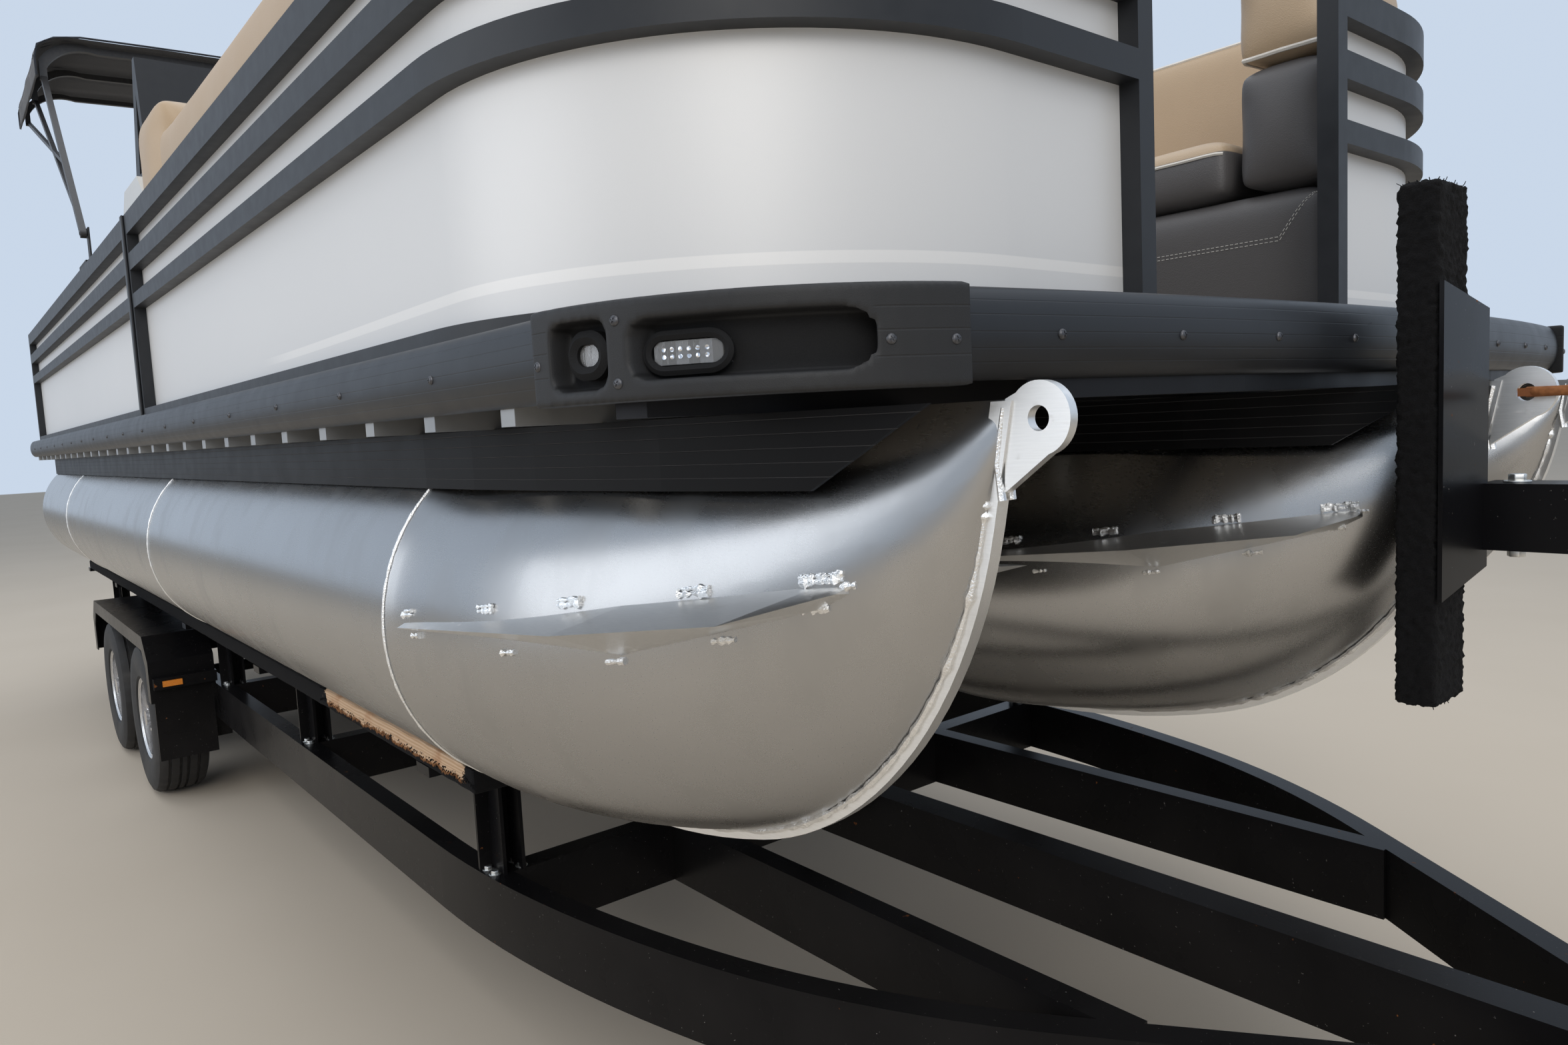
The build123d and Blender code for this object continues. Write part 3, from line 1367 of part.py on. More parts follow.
keep("trailer_frame", trailer_frame())
keep("bunk_boards", *bunks())
keep("bunk_brackets", *bunk_brackets())
keep("fenders", *pair(fender()))
keep("axles", *axles())
keep("trailer_lights", *lamps())
keep("winch_stand", winch_stand())
keep("bow_stop", bow_stop())
keep("winch", winch())
keep("winch_strap", winch_strap())
jack_tube, jack_leg = jack()
keep("jack_tube", jack_tube)
keep("jack_leg", jack_leg)
keep("coupler", coupler())
for place, x in (("front", front_wheel_x), ("rear", rear_wheel_x)):
    for hand, side in (("port", 1), ("starboard", -1)):
        keep(f"tyre_{place}_{hand}", tyre(x, side))
        keep(f"rim_{place}_{hand}", rim(x, side))

os.makedirs("parts", exist_ok=True)
for name, solids in parts.items():
    moved = [Pos(origin_shift, 0, 0) * solid for solid in solids]
    shape = moved[0] if len(moved) == 1 else Compound(children=moved)
    export_step(shape, f"parts/{name}.step")
steering_centre, steering_direction = steering_pose()
print("origin shift", origin_shift, "steering wheel", steering_centre, steering_direction)
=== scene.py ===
"""A pontoon boat with three tubes on its tandem-axle trailer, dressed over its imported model, in metres."""
import bpy
from functools import partial
from math import asin, atan2, cos, pi, radians, sin
from mathutils import Matrix, Vector, noise


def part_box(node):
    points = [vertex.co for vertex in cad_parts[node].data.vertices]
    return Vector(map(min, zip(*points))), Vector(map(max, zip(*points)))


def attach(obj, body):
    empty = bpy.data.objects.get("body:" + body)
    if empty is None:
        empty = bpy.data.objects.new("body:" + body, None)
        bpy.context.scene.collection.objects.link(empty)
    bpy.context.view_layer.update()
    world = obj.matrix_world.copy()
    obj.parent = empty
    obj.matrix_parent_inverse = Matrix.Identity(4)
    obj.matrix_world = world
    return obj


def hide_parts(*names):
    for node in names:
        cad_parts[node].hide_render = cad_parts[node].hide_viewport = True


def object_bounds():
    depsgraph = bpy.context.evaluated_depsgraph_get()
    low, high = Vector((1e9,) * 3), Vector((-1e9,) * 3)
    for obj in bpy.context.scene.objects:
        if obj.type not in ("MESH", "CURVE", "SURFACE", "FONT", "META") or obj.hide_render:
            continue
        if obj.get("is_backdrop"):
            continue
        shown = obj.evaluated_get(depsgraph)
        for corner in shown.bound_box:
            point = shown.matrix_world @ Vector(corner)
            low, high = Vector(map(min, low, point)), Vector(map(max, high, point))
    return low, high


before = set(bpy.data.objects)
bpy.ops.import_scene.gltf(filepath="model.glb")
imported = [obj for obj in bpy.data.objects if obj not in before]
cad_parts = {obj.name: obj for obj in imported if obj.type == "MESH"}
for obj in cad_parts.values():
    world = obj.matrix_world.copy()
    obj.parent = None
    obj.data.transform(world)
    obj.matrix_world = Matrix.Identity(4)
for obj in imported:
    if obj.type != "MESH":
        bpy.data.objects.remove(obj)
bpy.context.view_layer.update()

# The camera stands low off the starboard bow with a 24 mm lens, close to the nearest nose.
# Places along the boat are written from bow, the hole of the starboard bow eye.
bow = 3.215
camera_place = (bow + 0.647, -1.835, 1.461)
heading, dip, lean = radians(39.268), radians(-5.287), radians(-2.86)
look = Vector((-cos(heading) * cos(dip), sin(heading) * cos(dip), sin(dip)))
side = look.cross(Vector((0, 0, 1))).normalized()
top = side.cross(look)
right = cos(lean) * side + sin(lean) * top
up = cos(lean) * top - sin(lean) * side
lens = bpy.data.cameras.new("camera")
lens.lens = 24
lens.sensor_width = 36
lens.clip_end = 200
camera = bpy.data.objects.new("camera", lens)
bpy.context.collection.objects.link(camera)
camera.matrix_world = Matrix.Translation(camera_place) @ Matrix((right, up, -look)).transposed().to_4x4()
bpy.context.scene.camera = camera


# The tubes are rolled from bare 2.5 mm aluminium sheet in lengths with a bright weld ring at each joint.
# The pressed nose halves meet in a keel strip; the sheet keeps its grain, stains and small scratches.
class Wire:
    """A value in a material, with arithmetic that adds the nodes for it."""

    def __init__(self, finish, socket):
        self.finish = finish
        self.socket = socket

    def math(self, operation, *values):
        return self.finish.node("Math", {"operation": operation}, values)

    def __add__(self, other):
        return self.math("ADD", self, other)

    def __sub__(self, other):
        return self.math("SUBTRACT", self, other)

    def __rsub__(self, other):
        return self.math("SUBTRACT", other, self)

    def __mul__(self, other):
        return self.math("MULTIPLY", self, other)

    def __abs__(self):
        return self.math("ABSOLUTE", self)

    __radd__ = __add__
    __rmul__ = __mul__


class Finish:
    """One material on a principled shader, with the node calls that its patterns need."""

    def __init__(self, name, **sockets):
        self.material = bpy.data.materials.new(name)
        self.material.use_nodes = True
        self.tree = self.material.node_tree
        self.shader = self.tree.nodes["Principled BSDF"]
        self.place = self.node("TexCoord", {}, [], "Object")
        self.put(**sockets)

    def node(self, kind, settings, values, output=0):
        made = self.tree.nodes.new("ShaderNode" + kind)
        for key, value in settings.items():
            setattr(made, key, value)
        pairs = values.items() if isinstance(values, dict) else enumerate(values)
        for key, value in pairs:
            if isinstance(value, Wire):
                self.tree.links.new(value.socket, made.inputs[key])
            else:
                made.inputs[key].default_value = value
        return Wire(self, made.outputs[output])

    def put(self, **sockets):
        """Set the shader's sockets, with _ for a space in their names."""
        for key, value in sockets.items():
            socket = self.shader.inputs[key.replace("_", " ")]
            if isinstance(value, Wire):
                self.tree.links.new(value.socket, socket)
            else:
                socket.default_value = (*value, 1) if isinstance(value, tuple) else value

    def stretched(self, x, y, z):
        return self.node("Mapping", {}, {"Vector": self.place, "Scale": (x, y, z)})

    def speckle(self, scale, detail=3.0, along=None, roughness=0.5):
        """Noise over the piece, from 0 to 1, stretched by the factors in along."""
        vector = self.place if along is None else self.stretched(*along)
        values = {"Vector": vector, "Scale": scale, "Detail": detail, "Roughness": roughness}
        return self.node("TexNoise", {}, values)

    def cells(self, scale):
        """Distance from the nearest of some scattered points, for pores and facets."""
        return self.node("TexVoronoi", {}, {"Vector": self.place, "Scale": scale})

    def waves(self, direction, scale, **values):
        """Bands across one axis."""
        values = {"Vector": self.place, "Scale": scale} | values
        return self.node("TexWave", {"wave_type": "BANDS", "bands_direction": direction}, values)

    def ramp(self, value, low, high):
        """A value carried smoothly from one range to the range from 0 to 1."""
        return self.node("MapRange", {"interpolation_type": "SMOOTHSTEP"}, [value, low, high, 0.0, 1.0])

    def between(self, value, low, high, soft):
        """1 where a value lies between two others, with soft ends."""
        return self.ramp(value, low, low + soft) * self.ramp(value, high, high - soft)

    def scored(self, value, levels, wide, narrow):
        """1 on thin lines where a value meets the levels."""
        return sum(self.ramp(abs(value - level), wide, narrow) for level in levels)

    def blend(self, share, first, second):
        """Two colours mixed by a share from 0 to 1."""
        colours = [c if isinstance(c, Wire) else (*c, 1) for c in (first, second)]
        return self.node("Mix", {"data_type": "RGBA"}, {0: share, 6: colours[0], 7: colours[1]}, 2)

    def axis(self, name):
        return self.node("SeparateXYZ", {}, [self.place], name)

    def bump(self, height, depth, strength=1.0):
        """Raise the surface by height, from 0 to 1, times depth in metres."""
        normal = self.node("Bump", {}, {"Strength": strength, "Distance": depth, "Height": height})
        self.put(Normal=normal)


def mottled(name, scale, detail, light, dark, rough, relief=None, along=None, **sockets):
    """A finish whose two tones, roughness and relief follow one speckle."""
    made = Finish(name, **sockets)
    spots = made.speckle(scale, detail, along)
    made.put(Base_Color=made.blend(spots, light, dark), Roughness=rough[0] + spots * rough[1])
    if relief:
        made.bump(spots, *relief)
    return made


def dress(finish, *nodes):
    """Give CAD nodes this finish."""
    for name in nodes:
        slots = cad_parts[name].data.materials
        slots.clear()
        slots.append(finish.material)


sheet_metal = Finish("aluminium_sheet", Metallic=1.0)
grain = sheet_metal.speckle(30, 3, (0.4, 18, 18))
cloud = sheet_metal.speckle(2.2, 4, (1.0, 1.6, 1.6))
stain = sheet_metal.ramp(sheet_metal.speckle(9, 4, (1.0, 1.0, 0.6)), 0.45, 0.8)
scratch = sheet_metal.ramp(sheet_metal.speckle(26, 6, (6.0, 1.2, 0.35), 0.7), 0.66, 0.74)
# Painted reflection: towards the bottom of each tube the sheet is tinted warm brown, standing in for the warm
# floor it reflects.
low_painted_reflection = sheet_metal.ramp(sheet_metal.axis("Z"), 0.98, 0.84)
tone = sheet_metal.blend(cloud, (0.37, 0.368, 0.365), (0.46, 0.46, 0.46))
tone = sheet_metal.blend(stain * 0.35, tone, (0.31, 0.305, 0.30))
tone = sheet_metal.blend(low_painted_reflection * 0.5, tone, (0.36, 0.31, 0.25))
sheet_metal.put(Base_Color=tone)
sheet_metal.put(Roughness=0.24 + grain * 0.05 + stain * 0.06 + scratch * 0.05)
sheet_metal.bump(grain * 0.8 + scratch * 0.2, 0.0002, 0.13)
dress(sheet_metal, "pontoon_port", "pontoon_starboard", "pontoon_centre")


def alone(obj):
    """Select one object and nothing else."""
    bpy.ops.object.select_all(action="DESELECT")
    obj.select_set(True)
    bpy.context.view_layer.objects.active = obj
    return obj


def settle(obj):
    """Apply the object's modifiers and its place."""
    alone(obj)
    for modifier in list(obj.modifiers):
        bpy.ops.object.modifier_apply(modifier=modifier.name)
    bpy.ops.object.transform_apply(location=True, rotation=True, scale=True)
    return obj


def edited(obj, *steps):
    """Run steps in edit mode, each with the whole mesh selected."""
    alone(obj)
    bpy.ops.object.mode_set(mode="EDIT")
    for step in steps:
        bpy.ops.mesh.select_all(action="SELECT")
        step()
    bpy.ops.object.mode_set(mode="OBJECT")
    return obj


def joined(name, pieces):
    """Make one object of several."""
    bpy.ops.object.select_all(action="DESELECT")
    for piece in pieces:
        piece.select_set(True)
    bpy.context.view_layer.objects.active = pieces[0]
    if len(pieces) > 1:
        bpy.ops.object.join()
    made = bpy.context.view_layer.objects.active
    made.name = name
    made.data.name = name
    return made


def finished(obj, finish, body="boat_and_trailer", smooth=35):
    """Shade a settled piece, give it its finish and hang it on its body."""
    alone(obj)
    if smooth:
        bpy.ops.object.shade_smooth_by_angle(angle=radians(smooth))
    obj.data.materials.clear()
    obj.data.materials.append(finish.material)
    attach(obj, body)
    return obj


def bead(path, radius, ripple=0.25, closed=False, sides=8):
    """A weld bead or other round strand along points in metres, rippled along its run."""
    line = bpy.data.curves.new("bead", "CURVE")
    line.dimensions = "3D"
    spline = line.splines.new("POLY")
    spline.points.add(len(path) - 1)
    spline.use_cyclic_u = closed
    for point, place in zip(spline.points, path):
        point.co = (*place, 1)
        point.radius = 1 + ripple * noise.noise(Vector(place) * 160)
    line.bevel_depth = radius
    line.bevel_resolution = max(0, sides // 4 - 1)
    line.use_fill_caps = not closed
    obj = bpy.data.objects.new("bead", line)
    bpy.context.collection.objects.link(obj)
    alone(obj)
    bpy.ops.object.convert(target="MESH")
    return bpy.context.view_layer.objects.active


weld = mottled(
    "bright_weld", 420, 2, (0.72, 0.72, 0.72), (0.98, 0.98, 0.97), (0.22, 0.25), (0.0015, 0.8), Metallic=1.0)

# Each tube's nose stands this far ahead of the bow eye's line, and its middle this far to port.
tubes = {"port": (0.0, 0.966), "centre": (0.148, 0.0), "starboard": (0.0, -0.966)}
tube_height, tube_radius = 1.159, 0.3175
ring_steps = 220
ring_reach = tube_radius + 0.0005
rings = []
for lead, across in tubes.values():
    for joint in (-1.065, -3.361, -5.873):
        place = []
        for step in range(ring_steps):
            turn = 2 * pi * step / ring_steps
            place.append((
                bow + joint + lead, across + ring_reach * cos(turn), tube_height + ring_reach * sin(turn)))
        rings.append(bead(place, 0.0028, 0.5, True))
finished(joined("tube_weld_rings", rings), weld)


# The keel strip is a flat bar bent round each nose, and the bow eyes are bright 12 mm plates welded to it.
# A run of overlapping weld follows the strip on both sides and goes round the foot of each eye.
bar_metal = Finish("bright_bar", Metallic=1.0)
mill = bar_metal.speckle(70, 4, (0.4, 9, 9))
nick = bar_metal.ramp(bar_metal.speckle(55, 5), 0.62, 0.7)
bar_metal.put(Base_Color=bar_metal.blend(mill, (0.74, 0.74, 0.735), (0.9, 0.9, 0.89)))
bar_metal.put(Roughness=0.34 + mill * 0.12 + nick * 0.12)
bar_metal.bump(mill * 0.5 + nick * 0.5, 0.0004, 0.25)
dress(bar_metal, "nose_keels", "lifting_strakes")

keel_start, keel_foot = -0.886, 0.8295
wide_bend, tight_bend, bend_change = 1.5, 0.6, 15.5


def keel_place(climb, inside):
    """x from the bow eye and z of the keel's side profile where it climbs at this angle in degrees."""
    turn = radians(climb)
    x, z, radius = keel_start, keel_foot + wide_bend, wide_bend
    if climb > bend_change:
        x += (wide_bend - tight_bend) * sin(radians(bend_change))
        z -= (wide_bend - tight_bend) * cos(radians(bend_change))
        radius = tight_bend
    return x + (radius - inside) * sin(turn), z - (radius - inside) * cos(turn)


keel_half, keel_top, keel_slope = 0.0105, 1.372, 0.203
eye_foot = ((-0.046, 1.372), (-0.052, 1.41), (-0.047, 1.44), (-0.042, 1.468))
seams = []
for lead, across in tubes.values():
    for hand in (-1, 1):
        run = [(bow + lead - 1.065 + 0.02 * k, across + hand * keel_half, 0.8432) for k in range(9)]
        for step in range(90):
            x, z = keel_place(step * 78.5 / 89, 0.0135)
            run.append((bow + lead + x, across + hand * keel_half, z))
        foot_x, _, foot_z = run[-1]
        for step in range(1, 14):
            rise = step / 13 * (keel_top - foot_z)
            run.append((foot_x + rise * keel_slope, across + hand * keel_half, foot_z + rise))
        seams.append(bead(run, 0.0042, 1.0))
        seams.append(bead([(bow + lead + x, across + hand * 0.0085, z) for x, z in eye_foot], 0.0036, 1.0))
finished(joined("keel_welds", seams), weld)


# The lifting strakes are bent plates on the sides of the noses, bright like the keel strips.
# Short stitch welds with raised oval ends hold each one, in two rows above it and one below.
def strake_root(x):
    """Height of the upper edge of a strake here."""
    return 1.1904 + (x + 1.0) * 0.1203


def nose_breadth(x, z):
    """How far the skin of a nose stands from its middle at this place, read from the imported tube."""
    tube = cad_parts["pontoon_starboard"]
    hit, place, _, _ = tube.ray_cast(Vector((bow + x, -1.6, z)), Vector((0, 1, 0)))
    return abs(place.y - tubes["starboard"][1]) if hit else 0.3


stitch_rows = [(x, strake_root(x), half, thick) for x, half, thick in (
    (-0.985, 0.013, 0.0055), (-0.733, 0.019, 0.0058), (-0.556, 0.020, 0.0060), (-0.370, 0.020, 0.0062),
    (-0.218, 0.024, 0.0065),
)] + [
    (-0.190, 1.279, 0.008, 0.0065), (-0.955, 1.163, 0.013, 0.0050), (-0.673, 1.171, 0.013, 0.0050),
    (-0.479, 1.177, 0.014, 0.0050), (-0.332, 1.212, 0.014, 0.0052), (-0.225, 1.252, 0.014, 0.0062),
]
stitches = []
for x, z, half, thick in stitch_rows:
    gap = nose_breadth(x, z)
    near = nose_breadth(x + 0.02, z + 0.0024)
    for lead, across in tubes.values():
        for hand in (-1, 1):
            for row in (0, 1) if z > strake_root(x) - 0.002 else (0,):
                run = []
                for step in range(15):
                    shift = 2 * half * step / 14 - half
                    stand = gap + (near - gap) * shift / 0.02 + 0.001
                    height = z + 0.003 + 0.0062 * row + shift * 0.12
                    run.append((bow + lead + x + shift, across + hand * stand, height))
                stitches.append(bead(run, thick * (0.5 if row else 0.66), 1.3))
finished(joined("strake_stitch_welds", stitches), weld)


# The risers between tube and deck are black extrusions with fine ribs and a painted highlight line in each
# groove; the cross members are mill aluminium.
# The members forward of about 0.47 m behind the bow eye are toned black, for the deep shadow there.
riser = Finish("ribbed_riser", Metallic=0.0, IOR=1.5)
rib_pitch = 0.0165
rib = riser.node("Math", {"operation": "FRACT"}, [riser.axis("Z") * (1 / rib_pitch)])
groove_and_painted_highlight = riser.between(rib, 0.0, 1.0, 0.04)
dust = riser.speckle(14, 4)
extruded = riser.blend(dust, (0.003, 0.003, 0.0035), (0.008, 0.008, 0.009))
# Painted highlight: a thin pale grey line is painted along each groove between the ribs, and the same mask
# sinks the grooves.
riser.put(Base_Color=riser.blend(1 - groove_and_painted_highlight, extruded, (0.09, 0.09, 0.095)))
riser.put(Roughness=0.34 + dust * 0.16, Specular_IOR_Level=0.12)
riser.bump(groove_and_painted_highlight, 0.0009, 0.8)
dress(riser, "riser_skirts")
mill_metal = Finish("mill_members", Metallic=1.0)
haze = mill_metal.speckle(12, 4)
front_shade = mill_metal.ramp(mill_metal.axis("X"), bow - 0.475, bow - 0.465)
member_tone = mill_metal.blend(haze, (0.34, 0.34, 0.34), (0.5, 0.5, 0.49))
mill_metal.put(Base_Color=mill_metal.blend(front_shade, member_tone, (0.03, 0.03, 0.032)))
mill_metal.put(Roughness=0.36 + haze * 0.2)
mill_metal.bump(haze, 0.0008, 0.4)
dress(mill_metal, "cross_members", "motor_pod")


# The rub rail is a rounded black extrusion with thin grooves, bent round the bow and mitred at the stern.
# Screws with a cross recess hold it through its face. The fence rails have a satin charcoal anodising.
charcoal_pair = ((0.012, 0.0135, 0.0165), (0.034, 0.037, 0.043))
satin = Finish("satin_charcoal", IOR=1.5)
wear = satin.speckle(30, 5)
line_wear = satin.ramp(satin.speckle(70, 3, (0.05, 0.05, 2.2), 0.6), 0.7, 0.78)
satin.put(Specular_IOR_Level=0.35)
satin.put(Base_Color=satin.blend(wear * 0.5 + line_wear * 0.4, *charcoal_pair))
satin.put(Roughness=0.38 + wear * 0.16)
satin.bump(wear, 0.0004, 0.3)
dress(satin, "bow_fence_frames", "aft_fence_frames", "stern_fence", "windscreen")
rail_finish = Finish("rub_rail_black", IOR=1.5)
cuts = rail_finish.scored(rail_finish.axis("Z"), (1.5165, 1.531, 1.548, 1.566, 1.5815), 0.0009, 0.0003)
scuff = rail_finish.ramp(rail_finish.speckle(35, 6, (0.6, 0.6, 2.5), 0.7), 0.66, 0.72)
mottle = rail_finish.speckle(18, 4)
black = rail_finish.blend(mottle * 0.4 + scuff * 0.35, (0.007, 0.008, 0.010), (0.022, 0.025, 0.032))
rail_finish.put(Base_Color=rail_finish.blend(cuts * 0.6, black, (0.006, 0.006, 0.007)))
rail_finish.put(Roughness=0.34 + mottle * 0.14 + scuff * 0.12, Specular_IOR_Level=0.4)
rail_finish.bump(1 - cuts, 0.0004, 0.6)

# The deck's edge is an arc at the bow and straight along the sides and the stern.
deck_half = 1.27
rail_level = 1.548
bow_sweep = 7.0
sweep_middle = bow - 7.021
bow_half_turn = asin(1.0 / bow_sweep)
stern_x = bow - 7.47


def rail_section(x, y, out_x, out_y):
    """The half-round section of the rail, facing outward at this place on the deck's edge."""
    bpy.ops.mesh.primitive_circle_add(
        vertices=40, radius=0.0496, fill_type="NGON", rotation=(pi / 2, 0, 0))
    section = bpy.context.object
    section.scale = (0.504, 1, 1)
    settle(section)
    edited(section, partial(bpy.ops.mesh.bisect, plane_co=(0, 0, 0), plane_no=(1, 0, 0), clear_inner=True))
    facing = Matrix.Rotation(atan2(out_y, out_x), 4, "Z")
    section.matrix_world = Matrix.Translation((x, y, rail_level)) @ facing
    return settle(section)


def drawn(section, step=None, mitres=()):
    """The section drawn out straight by a step, cut at each mitre, or else spun round the bow."""
    if step:
        draw = partial(bpy.ops.mesh.extrude_region_move, TRANSFORM_OT_translate={"value": step})
    else:
        draw = partial(
            bpy.ops.mesh.spin, steps=60, angle=-2 * bow_half_turn,
            center=(sweep_middle, 0, rail_level), axis=(0, 0, 1))
    saws = [
        partial(bpy.ops.mesh.bisect, plane_co=place, plane_no=way, clear_inner=True, use_fill=True)
        for place, way in mitres
    ]
    weld_up = partial(bpy.ops.mesh.remove_doubles, threshold=0.00005)
    return edited(section, draw, *saws, weld_up, partial(bpy.ops.mesh.normals_make_consistent, inside=False))


lengths = [drawn(rail_section(
    sweep_middle + bow_sweep * cos(bow_half_turn), -1.0, cos(bow_half_turn), -1.0 / bow_sweep))]
for hand in (-1, 1):
    side_start = rail_section(stern_x - 0.076, hand * deck_half, 0, hand)
    lengths.append(drawn(side_start, (7.12, 0, 0), [((stern_x, hand * deck_half, 0), (1, hand, 0))]))
stern_mitres = [((stern_x, hand * deck_half, 0), (-1, -hand, 0)) for hand in (1, -1)]
lengths.append(drawn(rail_section(stern_x, -deck_half - 0.07, -1, 0), (0, 2.68, 0), stern_mitres))
rub_rail = finished(joined("rub_rail_extrusion", lengths), rail_finish)
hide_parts("rub_rail")


def facing_along(place, axis):
    """The move that takes a part from z = 0 to a place, with its +z along a direction."""
    turn = Vector((0, 0, 1)).rotation_difference(Vector(axis))
    return Matrix.Translation(Vector(place)) @ turn.to_matrix().to_4x4()


def bevelled(obj, width, segments=1):
    """The piece with its edges broken."""
    edge = obj.modifiers.new("edge", "BEVEL")
    edge.width = width
    edge.segments = segments
    return settle(obj)


def block(size, move):
    """A block of this size, moved from the origin by a matrix."""
    bpy.ops.mesh.primitive_cube_add(size=1)
    made = bpy.context.object
    made.matrix_world = move @ Matrix.Diagonal((*size, 1))
    return settle(made)


def disc(sides, radius, depth, move=Matrix()):
    """A disc or a rod along z, moved from the origin by a matrix."""
    bpy.ops.mesh.primitive_cylinder_add(vertices=sides, radius=radius, depth=depth)
    made = bpy.context.object
    made.matrix_world = move
    return settle(made)


def screw(radius, height):
    """A round-head screw with a cross recess, standing on z = 0."""
    bpy.ops.mesh.primitive_uv_sphere_add(segments=20, ring_count=10, radius=radius)
    upper = {"plane_co": (0, 0, 0), "plane_no": (0, 0, 1), "clear_inner": True, "use_fill": True}
    head = edited(bpy.context.object, partial(bpy.ops.mesh.bisect, **upper))
    head.scale = (1, 1, height / radius)
    settle(head)
    at_top = Matrix.Translation((0, 0, height))
    bar_size = (radius * 1.1, radius * 0.24, height * 0.8)
    for turn in (0, pi / 2):
        recess = block(bar_size, at_top @ Matrix.Rotation(turn, 4, "Z"))
        cut = head.modifiers.new("cut", "BOOLEAN")
        cut.operation = "DIFFERENCE"
        cut.object = recess
        cut.solver = "EXACT"
        settle(head)
        bpy.data.objects.remove(recess)
    return head


def bolt(radius, height, washer=1.45):
    """A hex head with a chamfered crown on a flat washer, standing on z = 0."""
    thick = radius * 0.2
    head = disc(6, radius, height, Matrix.Translation((0, 0, (height + thick) / 2)))
    plate = disc(20, radius * washer, thick, Matrix.Translation((0, 0, thick / 2)))
    return joined("bolt", [bevelled(head, radius * 0.12, 2), bevelled(plate, radius * 0.05)])


def placed(pattern, places, name):
    """Copy a small part to each (point, direction) and join the copies."""
    copies = []
    for point, axis in places:
        twin = pattern.copy()
        twin.data = pattern.data.copy()
        bpy.context.collection.objects.link(twin)
        twin.matrix_world = facing_along(point, axis)
        copies.append(settle(twin))
    return joined(name, copies)


dark_screw = mottled(
    "blackened_screw", 300, 2, (0.02, 0.02, 0.022), (0.16, 0.16, 0.17), (0.3, 0.2), Metallic=0.8)
rail_screw = screw(0.0062, 0.0036)
screw_level, face_reach = 1.5455, 0.0250
screw_places = []
for k in range(-4, 5):
    y = 0.21 * k - 0.02
    forward = ((bow_sweep + face_reach) ** 2 - y * y) ** 0.5
    screw_places.append(((sweep_middle + forward, y, screw_level), (forward, y, 0)))
for k in range(17):
    for hand in (-1, 1):
        point = (bow - 0.75 - 0.4 * k, hand * (deck_half + face_reach), screw_level)
        screw_places.append((point, (0, hand, 0)))
finished(placed(rail_screw, screw_places, "rub_rail_screws"), dark_screw)


# The corner caps are moulded from grained black plastic and wrap the rail at both bow corners.
# Each has thin grooves, cross-head screws and two lamp pockets, whose insides carry a painted shade, toned
# near-black by their place.
moulded = Finish("moulded_cap", IOR=1.46)
skin = moulded.speckle(900, 2)
sun = moulded.speckle(7, 3)
cap_height = moulded.axis("Z")
cap_along = moulded.axis("X")
beside = moulded.ramp(cap_along, bow - 0.096, bow - 0.092) + moulded.ramp(cap_along, bow - 0.391, bow - 0.394)
folds = moulded.scored(cap_height, (1.524, 1.550, 1.573), 0.0013, 0.0005) * beside
# Painted shade: the insides of the two lamp pockets are painted near-black and made rougher, by their place.
pocket_painted_shade = sum(
    moulded.between(cap_along, bow + rear + 0.002, bow + front - 0.002, 0.003)
    * moulded.between(cap_height, low + 0.002, high - 0.002, 0.003)
    for rear, front, low, high in ((-0.388, -0.305, 1.508, 1.580), (-0.278, -0.097, 1.514, 1.574))
)
shade = moulded.blend(sun * 0.6 + skin * 0.2, (0.010, 0.010, 0.011), (0.03, 0.031, 0.033))
moulded.put(Base_Color=moulded.blend(pocket_painted_shade, shade, (0.003, 0.003, 0.0035)))
moulded.put(Roughness=0.44 + skin * 0.2 + pocket_painted_shade * 0.25, Specular_IOR_Level=0.4)
moulded.bump(skin * 0.3 + (1 - folds) * 0.7, 0.0009, 0.7)
dress(moulded, "bimini_mounts")


def solids_of(node):
    """A node's separate solids as loose copies with merged corners."""
    bpy.ops.object.select_all(action="DESELECT")
    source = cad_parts[node]
    twin = source.copy()
    twin.data = source.data.copy()
    twin.parent = None
    twin.name = "copy"
    for key in list(twin.keys()):
        del twin[key]
    bpy.context.collection.objects.link(twin)
    twin.hide_viewport = False
    twin.hide_render = False
    merge = partial(bpy.ops.mesh.remove_doubles, threshold=0.0001)
    edited(twin, merge, partial(bpy.ops.mesh.separate, type="LOOSE"))
    return list(bpy.context.selected_objects)


def remeshed(obj, cell, passes=0):
    """The piece rebuilt from cells of one size and smoothed."""
    fine = obj.modifiers.new("voxels", "REMESH")
    fine.mode = "VOXEL"
    fine.voxel_size = cell
    if passes:
        soft = obj.modifiers.new("soft", "SMOOTH")
        soft.factor = 0.5
        soft.iterations = passes
    return settle(obj)


caps = remeshed(joined("moulded_corner_caps", solids_of("bow_corner_caps")), 0.0036, 5)
finished(caps, moulded, smooth=60)
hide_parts("bow_corner_caps")
cap_screw = screw(0.0058, 0.0028)
cap_places = []
for hand in (-1, 1):
    for x, z in ((-0.413, 1.538), (-0.291, 1.576), (-0.291, 1.512), (-0.087, 1.541), (-0.062, 1.5395)):
        _, place, out, _ = caps.ray_cast(Vector((bow + x, hand * 1.6, z)), Vector((0, -hand, 0)))
        cap_places.append((place, out))
finished(placed(cap_screw, cap_places, "cap_screws"), dark_screw)

